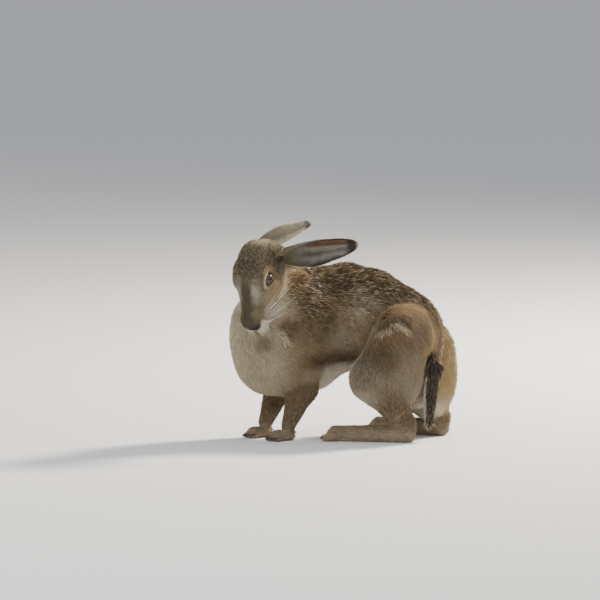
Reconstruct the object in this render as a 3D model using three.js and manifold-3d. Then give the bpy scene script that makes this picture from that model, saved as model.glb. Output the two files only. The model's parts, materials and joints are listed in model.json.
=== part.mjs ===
import * as THREE from "three";
import { mergeVertices } from "three/addons/utils/BufferGeometryUtils.js";
import Module from "manifold-3d";

// A brown hare, life size, standing in a half crouch and turning round to its left to groom its breast.
// Millimetres, +Z up. The hare stands on Z = 0. X runs from its breast to its rump, Y away from its left side.
// The flesh is a distance field: a function of a point, negative inside and positive outside, in millimetres.
// Soft unions of named fields make the forms, and a surface is drawn where the field is zero.

const wasm = await Module();
wasm.setup();

// Grid sizes of the surfaces, and the gap that touching nodes keep
const TRUNK_STEP = 12.5;
const HEAD_STEP = 5.8;
const LEG_STEP = 8;
const FOOT_STEP = 6.5;
const GAP = 0.3;
const WELD = 0.06;

// Driving sizes of the animal, with the coat on
const HEAD_LENGTH = 120;
const SKULL_WIDTH = 52;
const EAR_LENGTH = 112;
const EAR_BREADTH = 54;
const EAR_WALL = 2.6;
const EYE_RADIUS = 9.8;
const EYE_SPREAD = 20;
const LID_THICKNESS = 1.7;
const HINDFOOT_LENGTH = 134;
const HINDFOOT_WIDTH = 36;
const FOREPAW_LENGTH = 48;
const FOREPAW_WIDTH = 26;
const CLAW_LENGTH = 12;

// Heights where legs are parted from the body and paws from forelegs
const FORELEG_TOP = 58;
const WRIST_TOP = 25;
const HOCK_TOP = 36;

const vec = (x, y, z) => new THREE.Vector3(x, y, z);
const UP = vec(0, 0, 1);
const radians = THREE.MathUtils.degToRad;
// A level way: 0 is along -X, from rump to breast, and positive turns towards the hare's left, which is -Y.
const heading = (degrees) => vec(-Math.cos(radians(degrees)), -Math.sin(radians(degrees)), 0);
const SIDES = [["left", 1], ["right", -1]];
const both = (make) => SIDES.map(([, s]) => make(s));

// A frame with its x along forward, its z as near to up as can be, and its y to the left.
function frameOf(origin, forward, up) {
  const x = forward.clone().normalize();
  const y = up.clone().cross(x).normalize();
  return new THREE.Matrix4().makeBasis(x, y, x.clone().cross(y)).setPosition(origin);
}

// The field of an ellipsoid with half sizes size, about at in frame and along its axes.
function ellipsoid(frame, at, size) {
  const e = frame.clone().invert().elements;
  return (x, y, z) => {
    const px = (e[0] * x + e[4] * y + e[8] * z + e[12] - at[0]) / size[0];
    const py = (e[1] * x + e[5] * y + e[9] * z + e[13] - at[1]) / size[1];
    const pz = (e[2] * x + e[6] * y + e[10] * z + e[14] - at[2]) / size[2];
    const near = Math.hypot(px, py, pz);
    const slope = Math.hypot(px / size[0], py / size[1], pz / size[2]);
    return slope < 1e-9 ? -Math.min(...size) : (near * (near - 1)) / slope;
  };
}

// The field of a limb from a to b whose radius goes from ra to rb, with rounded ends.
function limb(a, b, ra, rb) {
  const d = b.clone().sub(a);
  return (x, y, z) => {
    const px = x - a.x;
    const py = y - a.y;
    const pz = z - a.z;
    const t = THREE.MathUtils.clamp((px * d.x + py * d.y + pz * d.z) / d.lengthSq(), 0, 1);
    return Math.hypot(px - t * d.x, py - t * d.y, pz - t * d.z) - (ra + (rb - ra) * t);
  };
}

// The union of fields, with each crease between them filled over a width of softness.
function soften(softness, fields) {
  return (x, y, z) => {
    let d = fields[0](x, y, z);
    for (const field of fields.slice(1)) {
      const e = field(x, y, z);
      const h = Math.max(softness - Math.abs(d - e), 0);
      d = Math.min(d, e) - (h * h) / (4 * softness);
    }
    return d;
  };
}

// A field hollowed by another, with the rim rounded over a width of softness.
function hollow(softness, field, cut) {
  return (x, y, z) => {
    const d = field(x, y, z);
    const e = -cut(x, y, z);
    const h = Math.max(softness - Math.abs(d - e), 0);
    return Math.max(d, e) + (h * h) / (4 * softness);
  };
}

// The same field with its surface moved out by a distance.
const grown = (field, by) => (x, y, z) => field(x, y, z) - by;

// Draws the surface where field is zero, in cubes of size step: one point in each cube that the surface crosses,
// at the mean of its crossings, and one square across each edge of the grid that the surface crosses.
function surfaceOf(field, low, high, step) {
  const n = [0, 1, 2].map((i) => Math.ceil((high.getComponent(i) - low.getComponent(i)) / step) + 1);
  const strides = [1, n[0], n[0] * n[1]];
  const cell = (i, j, k) => i + strides[1] * j + strides[2] * k;
  const everyCell = (first, visit) => {
    for (let k = first; k < n[2] - 1; k++) {
      for (let j = first; j < n[1] - 1; j++) {
        for (let i = first; i < n[0] - 1; i++) visit(i, j, k);
      }
    }
  };
  const values = new Float32Array(n[0] * n[1] * n[2]).map((_, c) =>
    field(
      low.x + (c % n[0]) * step,
      low.y + (Math.floor(c / n[0]) % n[1]) * step,
      low.z + Math.floor(c / strides[2]) * step,
    ),
  );
  const corners = [0, 1, 2, 3, 4, 5, 6, 7].map((c) => [c & 1, (c >> 1) & 1, c >> 2]);
  const edges = corners.flatMap((_, p) => [1, 2, 4].filter((bit) => !(p & bit)).map((bit) => [p, p | bit]));
  const pointOf = new Map();
  const points = [];
  everyCell(0, (i, j, k) => {
    const v = corners.map(([a, b, c]) => values[cell(i + a, j + b, k + c)]);
    const crossed = edges.filter(([p, q]) => v[p] < 0 !== v[q] < 0);
    if (!crossed.length) return;
    const mean = [i, j, k];
    for (const [p, q] of crossed) {
      const t = v[p] / (v[p] - v[q]);
      for (const a of [0, 1, 2]) mean[a] += (corners[p][a] + t * (corners[q][a] - corners[p][a])) / crossed.length;
    }
    pointOf.set(cell(i, j, k), points.length / 3);
    points.push(low.x + mean[0] * step, low.y + mean[1] * step, low.z + mean[2] * step);
  });
  const triangles = [];
  everyCell(1, (i, j, k) => {
    const here = cell(i, j, k);
    for (const a of [0, 1, 2]) {
      const inside = values[here] < 0;
      if (inside === values[here + strides[a]] < 0) continue;
      const u = strides[(a + 1) % 3];
      const w = strides[(a + 2) % 3];
      const [p, q, r, s] = [here - u - w, here - w, here, here - u].map((c) => pointOf.get(c));
      triangles.push(...(inside ? [p, q, r, p, r, s] : [p, r, q, p, s, r]));
    }
  });
  return solidFrom(new Float32Array(points), new Uint32Array(triangles));
}

function solidFrom(vertProperties, triVerts) {
  return new wasm.Manifold(new wasm.Mesh({ numProp: 3, vertProperties, triVerts }));
}

// The solid of a three.js geometry, placed by a matrix.
function solidOf(geometry, matrix = new THREE.Matrix4()) {
  const placed = geometry.clone().applyMatrix4(matrix);
  placed.deleteAttribute("normal");
  placed.deleteAttribute("uv");
  const merged = mergeVertices(placed, 1e-3);
  return solidFrom(merged.attributes.position.array, new Uint32Array(merged.index.array));
}

// An egg of half sizes size about at in frame.
function egg(frame, at, size, around = 16, along = 10) {
  const matrix = frame.clone().multiply(new THREE.Matrix4().makeTranslation(...at)).scale(vec(...size));
  return solidOf(new THREE.SphereGeometry(1, around, along), matrix);
}

// The block of everything between two corners.
function block(low, high) {
  const size = high.clone().sub(low);
  const middle = low.clone().add(high).multiplyScalar(0.5);
  return solidOf(new THREE.BoxGeometry(size.x, size.y, size.z), new THREE.Matrix4().setPosition(middle));
}

// A straight rod from a to b whose radius goes from ra to rb.
function rod(a, b, ra, rb) {
  const turn = new THREE.Quaternion().setFromUnitVectors(vec(0, 1, 0), b.clone().sub(a).normalize());
  const matrix = new THREE.Matrix4().compose(a.clone().lerp(b, 0.5), turn, vec(1, 1, 1));
  return solidOf(new THREE.CylinderGeometry(rb, ra, a.distanceTo(b), 7), matrix);
}

// The two parts of a solid on the near and the far side of a plane, with the gap between them.
function partedBy(solid, normal, distance) {
  const n = normal.toArray();
  const back = normal.clone().negate().toArray();
  return [solid.trimByPlane(back, -(distance - GAP / 2)), solid.trimByPlane(n, distance + GAP / 2)];
}

// Torso: a place, half length, half width and half height, and the heading there, in degrees.
// The back bends round to the left, so the hare is hollow on that side.
const TORSO = [
  { name: "rump", at: vec(92, -12, 136), size: [36, 38, 44], turn: -44 },
  { name: "pelvis", at: vec(76, -2, 143), size: [48, 46, 61], turn: -40 },
  { name: "loin", at: vec(40, 18, 160), size: [46, 46, 66], turn: -20 },
  { name: "midback", at: vec(0, 30, 163), size: [46, 48, 72], turn: 0 },
  { name: "thorax", at: vec(-40, 22, 146), size: [46, 50, 82], turn: 18 },
  { name: "shoulders", at: vec(-76, 4, 130), size: [44, 52, 72], turn: 35 },
  { name: "seat", at: vec(92, -18, 92), size: [28, 30, 50], turn: -44 },
  { name: "breast", at: vec(-106, -18, 118), size: [44, 48, 56], turn: 45 },
  { name: "ruff", at: vec(-110, -16, 157), size: [43, 40, 46], turn: 50 },
];
const torso = soften(22, TORSO.map((part) => ellipsoid(frameOf(part.at, heading(part.turn), UP), [0, 0, 0], part.size)));

// Head frame: x to the nose, y to the left, z to the crown, from the point between the eyes
const FACE_TURN = 30;
const CROWN_WAY = vec(-Math.sin(radians(FACE_TURN)), -Math.cos(radians(FACE_TURN)), 0);
const HEAD = frameOf(vec(-121, -84, 223.5), vec(-0.06, 0, -1), CROWN_WAY);
const onHead = (x, y, z) => vec(x, y, z).applyMatrix4(HEAD);
const wayOnHead = (x, y, z) => vec(x, y, z).transformDirection(HEAD);
const NOSE = 0.57 * HEAD_LENGTH;
const POLL = NOSE - HEAD_LENGTH;

const skull = soften(12, [
  ellipsoid(HEAD, [POLL + 32, 0, 2], [32, 0.47 * SKULL_WIDTH, 25]),
  ellipsoid(HEAD, [POLL + 30, 0, -20], [26, 22, 18]),
  ellipsoid(HEAD, [4, 0, 6], [30, 0.39 * SKULL_WIDTH, 18]),
  ...both((s) => ellipsoid(HEAD, [-5, s * 14, -18], [30, 16, 22])),
  limb(onHead(8, 0, 1), onHead(NOSE - 17, 0, 1), 18.5, 14),
  limb(onHead(-14, 0, -26), onHead(NOSE - 20, 0, -18), 15, 10),
  ...both((s) => limb(onHead(6, s * 14, -17), onHead(NOSE - 22, s * 7, -11), 14, 9)),
  ellipsoid(HEAD, [NOSE - 9, 0, 0], [9, 9.5, 10.5]),
  ...both((s) => ellipsoid(HEAD, [NOSE - 15, s * 8, -10], [13, 8.5, 11])),
  ...both((s) => ellipsoid(HEAD, [-3, s * 20, 14], [14, 6, 5])),
]);
const orbits = soften(1, both((s) => ellipsoid(HEAD, [1, s * 33, 4], [15, 10, 10])));
const NAPE = onHead(POLL + 34, 0, -26);
const WITHERS = vec(-58, 6, 167);
const neck = limb(NAPE, WITHERS, 32, 51);
const throat = limb(onHead(-10, 0, -34), vec(-92, -12, 160), 24, 40);
const headAndNeck = hollow(6, soften(12, [skull, neck, throat]), orbits);
// How far in front of the jaw a point is, along the way from jaw to crown
const JAW_DEPTH = 43;
const aheadOf = (x, y, z) => x * CROWN_WAY.x + y * CROWN_WAY.y - onHead(0, 0, -JAW_DEPTH).dot(CROWN_WAY);
const headField = (x, y, z) => Math.max(headAndNeck(x, y, z), -aheadOf(x, y, z) - 2 * HEAD_STEP);
// A plane just below the chin, which keeps the breast out of the head
const CHIN_WAY = wayOnHead(-1, 0, 0);
const CHIN_PLANE = onHead(NOSE + 5, 0, 0).dot(CHIN_WAY);

// Hindlegs: hip, middle of the thigh, knee and hock, and the way the foot points
const HINDLEGS = [
  { hip: vec(78, -34, 144), thigh: vec(76, -42, 106), knee: vec(38, -54, 86), hock: vec(82, -58, 24), turn: -12 },
  { hip: vec(100, 26, 122), thigh: vec(118, 30, 88), knee: vec(64, 62, 84), hock: vec(129, 33, 24), turn: -32 },
];
const KNEE_RADIUS = 27;
const HOCK_RADIUS = 13;
const thighOf = ({ hip, thigh, knee, hock, turn }) =>
  soften(18, [
    limb(hip, knee, 39, KNEE_RADIUS),
    ellipsoid(frameOf(thigh, heading(turn), UP), [0, 0, 0], [32, 30, 56]),
    limb(knee, hock, KNEE_RADIUS, HOCK_RADIUS),
  ]);

// Forelegs
const FORE_TURN = 35;
const ELBOW_RADIUS = 20;
const WRIST_RADIUS = 10;
const forelegs = both((s) => {
  const shoulder = vec(-78, 0, 112).addScaledVector(heading(FORE_TURN + 90), s * 27);
  const elbow = shoulder.clone().addScaledVector(heading(FORE_TURN), -6).setZ(70);
  const wrist = elbow.clone().addScaledVector(heading(FORE_TURN), 22).setZ(22);
  return { shoulder, elbow, wrist };
});

const TAIL = [vec(106, -26, 132), vec(117, -44, 98), vec(113, -50, 30)];
const tailField = soften(8, [limb(TAIL[0], TAIL[1], 9, 11.5), limb(TAIL[1], TAIL[2], 11.5, 7)]);

const trunkField = soften(9, [
  soften(13, [torso, neck, throat, ...forelegs.map((leg) => limb(leg.shoulder, leg.elbow, 30, 21))]),
  ...forelegs.map((leg) => limb(leg.elbow, leg.wrist, ELBOW_RADIUS, WRIST_RADIUS)),
  ...HINDLEGS.map(thighOf),
]);

// The largest closed surface of a solid, without edges shorter than WELD, and with places where it only
// touches itself along an edge or at a point opened by as little.
function cleaned(solid) {
  const { vertProperties, triVerts } = solid.decompose().sort((a, b) => b.volume() - a.volume())[0].getMesh();
  const points = Array.from({ length: vertProperties.length / 3 }, (_, i) => vec().fromArray(vertProperties, 3 * i));
  const joinedTo = points.map((_, i) => i);
  const rootOf = (i) => {
    while (joinedTo[i] !== i) i = joinedTo[i];
    return i;
  };
  for (let t = 0; t < triVerts.length; t++) {
    const a = rootOf(triVerts[t]);
    const b = rootOf(triVerts[t % 3 === 2 ? t - 2 : t + 1]);
    if (a !== b && points[a].distanceTo(points[b]) < WELD) joinedTo[Math.max(a, b)] = Math.min(a, b);
  }
  const kept = new Map();
  const normals = points.map(() => vec(0, 0, 0));
  for (let t = 0; t < triVerts.length; t += 3) {
    const triangle = [0, 1, 2].map((i) => rootOf(triVerts[t + i]));
    const key = [...triangle].sort((a, b) => a - b).join();
    const flat = new Set(triangle).size < 3;
    if (kept.has(key)) kept.delete(key);
    else if (!flat) kept.set(key, triangle);
  }
  for (const triangle of kept.values()) {
    const [a, b, c] = triangle.map((i) => points[i]);
    const normal = b.clone().sub(a).cross(c.clone().sub(a)).normalize();
    for (const i of triangle) normals[i].add(normal);
  }
  const placeOf = points.map((p) => p.toArray().map((v) => v.toFixed(2)).join());
  const users = new Map();
  new Set([...kept.values()].flat()).forEach((i) => users.set(placeOf[i], (users.get(placeOf[i]) ?? 0) + 1));
  const places = points.map((p, i) => {
    const pinched = users.get(placeOf[i]) > 1;
    return pinched ? p.clone().addScaledVector(normals[i].normalize(), -WELD) : p;
  });
  return {
    position: new THREE.Float32BufferAttribute(places.flatMap((p) => p.toArray()), 3),
    index: [...kept.values()].flat(),
  };
}

const hare = new THREE.Group();
const FUR = { color: 0x8a7458, roughness: 0.9, metalness: 0 };
const EYE = { color: 0x3a2410, roughness: 0.1, metalness: 0 };
function addNode(name, solid, look = FUR) {
  const { position, index } = cleaned(solid);
  const geometry = new THREE.BufferGeometry().setAttribute("position", position).setIndex(index);
  const node = new THREE.Mesh(geometry, new THREE.MeshStandardMaterial(look));
  node.name = name;
  hare.add(node);
}

// A foot on the floor, below a shank: toes fan out from the ball, each with its claw, and the sole is cut flat.
function foot(shank, heel, turn, length, width) {
  const frame = frameOf(heel.clone().setZ(0), heading(turn), UP);
  const place = (x, y, z) => vec(x, y, z).applyMatrix4(frame);
  const ball = length - 0.7 * width;
  const toes = [-0.375, -0.125, 0.125, 0.375];
  const toeEnd = (q) => place(length - CLAW_LENGTH - 0.7 * width * q * q, 0.95 * q * width, 0.13 * width);
  const field = soften(6, [
    shank,
    limb(heel, place(ball, 0, 0.25 * width), 0.36 * width, 0.34 * width),
    ...toes.map((q) => limb(place(ball, 0.6 * q * width, 0.2 * width), toeEnd(q), 0.25 * width, 0.19 * width)),
  ]);
  const reach = length + 2 * FOOT_STEP;
  const middle = place(length / 2, 0, 0);
  const flesh = surfaceOf(
    (x, y, z) => Math.max(field(x, y, z), z - HOCK_TOP - FOOT_STEP),
    middle.clone().add(vec(-reach, -reach, -3 * FOOT_STEP)),
    middle.clone().add(vec(reach, reach, HOCK_TOP + 4 * FOOT_STEP)),
    FOOT_STEP,
  );
  const claws = toes.map((q) => {
    const tip = toeEnd(q).addScaledVector(heading(turn), CLAW_LENGTH).setZ(2.2);
    return rod(toeEnd(q), tip, 2.6, 0.7);
  });
  return wasm.Manifold.union([flesh, ...claws]).trimByPlane([0, 0, 1], 0);
}

// Ear: a leaf rolled into a tube at its root and opening to a cup. Its frame has x to the tip, z out of the cup,
// and unroll is by how many degrees each edge has opened at the tip.
function ear({ frame, unroll }) {
  const ROWS = 11;
  const COLUMNS = 8;
  const across = COLUMNS + 1;
  const sheet = (out) =>
    Array.from({ length: (ROWS + 1) * across }, (_, c) => {
      const s = Math.floor(c / across) / ROWS;
      const q = (2 * (c % across)) / COLUMNS - 1;
      const swell = 0.68 + 0.32 * Math.sin(Math.PI * Math.min(1.25 * s, 0.5 + 0.5 * s));
      const half = 0.5 * EAR_BREADTH * swell * Math.sqrt(1.04 - s ** 4);
      const roll = radians(165 - unroll * Math.sqrt(s));
      const radius = half / roll + (out * EAR_WALL * (1 - 0.6 * q * q) * (1.2 - 0.5 * s)) / 2;
      const bow = 10 * s * (1 - s);
      return vec(EAR_LENGTH * s, radius * Math.sin(q * roll), half / roll - radius * Math.cos(q * roll) - bow);
    });
  const points = [...sheet(1), ...sheet(-1)].map((p) => p.applyMatrix4(frame));
  const inner = (ROWS + 1) * across;
  const triangles = [];
  const quad = (a, b, c, d) => triangles.push(a, b, c, a, c, d);
  const sheetQuad = (a) => {
    quad(a, a + 1, a + 1 + across, a + across);
    quad(inner + a, inner + a + across, inner + a + 1 + across, inner + a + 1);
  };
  for (let i = 0; i < ROWS; i++) {
    const a = i * across;
    for (let j = 0; j < COLUMNS; j++) sheetQuad(a + j);
    quad(a + across, inner + a + across, inner + a, a);
    const b = a + COLUMNS;
    quad(b, inner + b, inner + b + across, b + across);
  }
  for (let j = 0; j < COLUMNS; j++) {
    quad(j, inner + j, inner + j + 1, j + 1);
    const b = ROWS * across + j;
    quad(b + 1, inner + b + 1, inner + b, b);
  }
  return solidFrom(new Float32Array(points.flatMap((p) => p.toArray())), new Uint32Array(triangles));
}
const EARS = [
  { frame: frameOf(onHead(-34, 21, -12), vec(0.985, 0.05, 0.115), vec(-0.1, -0.85, -0.4)), unroll: 130 },
  { frame: frameOf(onHead(-33, -6, -16), vec(0.622, 0.731, 0.279), vec(-0.5, 0.4, 0.65)), unroll: 75 },
];

// Head: sockets with raised lids, nostrils, the cleft lip and the line of the mouth
const eyeCentre = (s) => onHead(-1, s * EYE_SPREAD, 4);
const eyeWay = (s) => wayOnHead(0.2, s * 0.95, 0.22);
const eyeFrame = (s) => frameOf(eyeCentre(s), eyeWay(s), wayOnHead(1, 0, 0));
const ball = (s, radius) => egg(eyeFrame(s), [0, 0, 0], [radius, radius, radius], 14, 9);
function lids(s) {
  const points = Array.from({ length: 16 }, (_, i) => {
    const turn = (i * Math.PI) / 8;
    const open = radians(55 - 13 * Math.abs(Math.sin(turn)));
    const way = vec(Math.cos(open), Math.sin(open) * Math.sin(turn), Math.sin(open) * Math.cos(turn));
    return way.multiplyScalar(EYE_RADIUS + 0.4).applyMatrix4(eyeFrame(s));
  });
  return solidOf(new THREE.TubeGeometry(new THREE.CatmullRomCurve3(points, true), 20, LID_THICKNESS, 6, true));
}
const MOUTH = [NOSE - 8, 0, -15];
const groove = (a, b, radius) => rod(onHead(...a), onHead(...b), radius, radius);
const faceCuts = [
  ...both((s) => ball(s, EYE_RADIUS + GAP)),
  ...both((s) => egg(HEAD, [NOSE - 1, s * 4.2, 2.5], [3.5, 1.4, 2.8], 8, 6)),
  groove([NOSE, 0, -2], MOUTH, 1),
  ...both((s) => groove(MOUTH, [NOSE - 18, s * 11, -16.5], 1)),
  ...both((s) => groove([NOSE - 18, s * 11, -16.5], [NOSE - 30, s * 14.5, -14], 1)),
];

const headLow = vec(-190, -150, 95);
const headHigh = vec(-20, 50, 300);
const JAW_PLANE = onHead(0, 0, -JAW_DEPTH).dot(CROWN_WAY);
const headSurface = (more, back) =>
  surfaceOf(grown(headField, more), headLow, headHigh, HEAD_STEP)
    .trimByPlane(CROWN_WAY.toArray(), JAW_PLANE - back)
    .trimByPlane(CHIN_WAY.toArray(), CHIN_PLANE - back);
const wholeHead = headSurface(0, 0);
const head = wasm.Manifold.union([wholeHead, ...both(lids)]).subtract(wasm.Manifold.union(faceCuts));
const roomForHead = surfaceOf(grown(headField, 2 * GAP), headLow, headHigh, HEAD_STEP);
const tailSurface = (more) => surfaceOf(grown(tailField, more), vec(70, -100, -10), vec(160, 20, 175), LEG_STEP);
const roomForTail = tailSurface(2 * GAP);
const trunkSurface = (more) =>
  surfaceOf(grown(trunkField, more), vec(-190, -150, -20), vec(190, 150, 300), TRUNK_STEP);
const headRoom = headSurface(2 * GAP, GAP);

addNode("head", head);
SIDES.forEach(([side, s], i) => {
  addNode("eye_" + side, ball(s, EYE_RADIUS), EYE);
  addNode("ear_" + side, ear(EARS[i]).subtract(roomForHead).subtract(trunkSurface(GAP)).subtract(head));
});

// Trunk: parted into neck, front, rear and the two thighs
const trunk = trunkSurface(0);
const lowerFront = block(vec(-200, -200, -50), vec(0, 200, FORELEG_TOP));
const lowerRear = block(vec(-1, -200, -50), vec(250, 200, HOCK_TOP));
let body = trunk.subtract(lowerFront).subtract(lowerRear).subtract(tailSurface(0)).subtract(roomForTail).subtract(headRoom).subtract(head);
const spine = heading(50);
HINDLEGS.forEach((leg, i) => {
  const outward = i === 0 ? 1 : -1;
  const midline = spine.clone().multiplyScalar(outward);
  const edge = outward * spine.dot(vec(76, -2, 0)) + 9;
  const room = (more) =>
    surfaceOf(grown(thighOf(leg), 3 + more), vec(-40, -150, -30), vec(190, 150, 220), TRUNK_STEP)
      .trimByPlane(midline.toArray(), edge - more);
  addNode("thigh_" + SIDES[i][0], body.intersect(room(0)));
  body = body.subtract(room(0)).subtract(room(2 * GAP));
});
const [rear, fore] = partedBy(body, heading(8), 4);
const [front, nape] = partedBy(fore, NAPE.clone().sub(WITHERS).normalize(), 182);
addNode("torso_rear", rear);
addNode("torso_front", front);
addNode("neck", nape);
addNode("tail", tailSurface(0));

SIDES.forEach(([side], i) => {
  const { knee, hock, turn } = HINDLEGS[i];
  const heel = hock.clone().setZ(0.3 * HINDFOOT_WIDTH);
  const reach = HINDFOOT_LENGTH - 0.36 * HINDFOOT_WIDTH;
  const hindfoot = foot(limb(knee, hock, KNEE_RADIUS, HOCK_RADIUS), heel, turn, reach, HINDFOOT_WIDTH);
  addNode("hindfoot_" + side, hindfoot.trimByPlane([0, 0, -1], -(HOCK_TOP - GAP)));
  const forearm = limb(forelegs[i].elbow, forelegs[i].wrist, ELBOW_RADIUS, WRIST_RADIUS);
  const foreleg = surfaceOf(forearm, vec(-150, -90, -20), vec(-10, 70, 120), LEG_STEP);
  const lower = foreleg.trimByPlane([0, 0, -1], -(FORELEG_TOP - GAP));
  addNode("foreleg_" + side, lower.trimByPlane([0, 0, 1], WRIST_TOP));
  const palm = forelegs[i].wrist.clone().setZ(0.3 * FOREPAW_WIDTH);
  const paw = foot(forearm, palm, FORE_TURN, FOREPAW_LENGTH - 0.36 * FOREPAW_WIDTH, FOREPAW_WIDTH);
  addNode("forepaw_" + side, paw.trimByPlane([0, 0, -1], -(WRIST_TOP - GAP)));
});

// The origin goes on the floor, under the middle of the whole.
const middle = new THREE.Box3().setFromObject(hare).getCenter(vec(0, 0, 0));
hare.position.set(-middle.x, -middle.y, 0);

export default hare;
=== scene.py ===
# %% [markdown]
# # A brown hare, life size, in its coat
# The hare stands in a half crouch and turns its head down over its left shoulder to groom its breast. The
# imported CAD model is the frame: it gives the place, the pose and the outline out to the tips of the coat.
# This lesson grows one skin inside that outline, sets eyes and claws in it, and covers it with mesh fur.

# %% Load the frame
import json
import math

import bpy
import numpy as np
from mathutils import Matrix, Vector, kdtree, noise

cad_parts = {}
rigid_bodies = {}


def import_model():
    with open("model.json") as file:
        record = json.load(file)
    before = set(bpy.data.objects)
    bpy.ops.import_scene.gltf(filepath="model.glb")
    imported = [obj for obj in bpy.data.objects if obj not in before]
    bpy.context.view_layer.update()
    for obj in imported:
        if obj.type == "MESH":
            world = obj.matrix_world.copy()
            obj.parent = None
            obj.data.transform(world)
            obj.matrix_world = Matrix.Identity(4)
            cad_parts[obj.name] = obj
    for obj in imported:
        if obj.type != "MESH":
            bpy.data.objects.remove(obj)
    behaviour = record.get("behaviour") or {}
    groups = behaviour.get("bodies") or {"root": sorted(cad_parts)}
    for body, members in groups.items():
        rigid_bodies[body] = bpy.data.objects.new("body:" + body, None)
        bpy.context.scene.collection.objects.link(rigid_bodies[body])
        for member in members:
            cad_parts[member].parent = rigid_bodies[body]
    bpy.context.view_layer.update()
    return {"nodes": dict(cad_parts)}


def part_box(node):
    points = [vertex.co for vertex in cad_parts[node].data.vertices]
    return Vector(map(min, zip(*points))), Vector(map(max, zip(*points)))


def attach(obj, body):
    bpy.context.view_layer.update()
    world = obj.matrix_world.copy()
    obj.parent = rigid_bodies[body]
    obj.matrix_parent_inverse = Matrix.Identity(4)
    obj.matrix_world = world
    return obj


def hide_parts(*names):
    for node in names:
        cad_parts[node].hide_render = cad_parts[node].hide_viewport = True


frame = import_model()
MM = 0.001
print("CAD nodes:", len(frame["nodes"]))

# %% [markdown]
# ## A little toolkit for shapes
# Flesh has no flat faces and no hard edges, so the body is written as a distance field: a function of a
# point that is negative inside and positive outside. Ellipsoids and tapering limbs are joined by soft
# unions, much as in the CAD model, so that the skin stays close to it. A sculpted mesh would look as
# good, but could not be read or changed number by number. Fields work in millimetres, and the mesh is in
# metres.

# %% Frames, ellipsoids and limbs
UP = np.array([0.0, 0.0, 1.0])


def vec(*values):
    return np.array(values, float)


def unit(v):
    return v / np.linalg.norm(v, axis=-1, keepdims=True)


def frame_of(origin, forward, up):
    """A place and its axes as columns: x forward, z as near to up as can be, y to the left."""
    x = unit(forward)
    y = unit(np.cross(up, x))
    return origin, np.stack([x, y, np.cross(x, y)], 1)


def heading(degrees):
    """A level way: 0 is from rump to breast, positive turns towards the hare's left."""
    return vec(-math.cos(math.radians(degrees)), -math.sin(math.radians(degrees)), 0)


def local(frame_, points):
    origin, axes = frame_
    return (points - origin) @ axes


def placed(frame_, *xyz):
    origin, axes = frame_
    return origin + axes @ vec(*xyz)


def ellipsoid(frame_, at, size):
    at, size = vec(*at), vec(*size)

    def field(points):
        p = (local(frame_, points) - at) / size
        near = np.linalg.norm(p, axis=-1)
        slope = np.linalg.norm(p / size, axis=-1)
        return near * (near - 1) / np.maximum(slope, 1e-9)

    return field


def limb(a, b, ra, rb):
    d = b - a

    def field(points):
        t = np.clip((points - a) @ d / (d @ d), 0, 1)
        return np.linalg.norm(points - a - t[..., None] * d, axis=-1) - (ra + (rb - ra) * t)

    return field


def soft_min(d, e, softness):
    h = np.maximum(softness - abs(d - e), 0)
    return np.minimum(d, e) - h * h / (4 * softness)


def soften(softness, fields):
    """The union of fields, with each crease between them filled over a width of softness."""

    def field(points):
        d = fields[0](points)
        for other in fields[1:]:
            d = soft_min(d, other(points), softness)
        return d

    return field


def smooth(low, high, x):
    t = np.clip((x - low) / (high - low), 0, 1)
    return t * t * (3 - 2 * t)


def mix(a, b, t):
    """From a to b by t, where a and b are numbers or rows of three."""
    if (3,) in (np.shape(a)[-1:], np.shape(b)[-1:]) and np.ndim(t) > 0:
        t = t[..., None]
    return a + (b - a) * t


SIDES = (1, -1)


def both(make):
    return [make(s) for s in SIDES]


test_limb = limb(vec(0, 0, 0), vec(20, 0, 0), 5, 5)
print("12 mm off the middle of a limb of radius 5, the field is", test_limb(vec(10, 12, 0)))

# %% [markdown]
# ## The body as a field
# A hare is a deep, narrow sack of a body slung between long hindlegs and slim forelegs. Here the spine
# also bends round to the left. One long bent tube would be quicker, but would look like a toy. Each
# ellipsoid below is one mass that a hand would feel under the coat, and soft unions run them together.

# %% Torso
TORSO = (
    (vec(92, -12, 136), (36, 38, 44), -44),  # rump
    (vec(76, -2, 143), (48, 46, 61), -40),  # pelvis
    (vec(40, 18, 160), (46, 46, 66), -20),  # loin
    (vec(0, 30, 163), (46, 48, 72), 0),  # midback
    (vec(-40, 22, 146), (46, 50, 82), 18),  # thorax
    (vec(-76, 4, 130), (44, 52, 72), 35),  # shoulders
    (vec(92, -18, 92), (28, 30, 50), -44),  # seat
    (vec(-106, -18, 118), (44, 48, 56), 45),  # breast
    (vec(-110, -16, 157), (43, 40, 46), 50),  # ruff
)
TORSO_SOFTNESS = 28
torso = soften(TORSO_SOFTNESS, [
    ellipsoid(frame_of(at, heading(turn), UP), (0, 0, 0), size) for at, size, turn in TORSO
])
print("torso:", len(TORSO), "masses")

# %% [markdown]
# ## The head
# The skull is a box of bone behind and a narrow muzzle in front. It hangs nose down, so its own x axis
# runs from poll to nose. A frame of its own lets every part of the face be given in the head's own
# directions.

# %% Head, neck and throat
HEAD_LENGTH = 120
SKULL_WIDTH = 52
FACE_TURN = math.radians(30)
CROWN_WAY = vec(-math.sin(FACE_TURN), -math.cos(FACE_TURN), 0)
HEAD = frame_of(vec(-121, -84, 223.5), vec(-0.06, 0, -1), CROWN_WAY)
NOSE = 0.57 * HEAD_LENGTH
POLL = NOSE - HEAD_LENGTH


def on_head(*xyz):
    return placed(HEAD, *xyz)


def head_limb(a, b, ra, rb):
    return limb(on_head(*a), on_head(*b), ra, rb)


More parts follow.
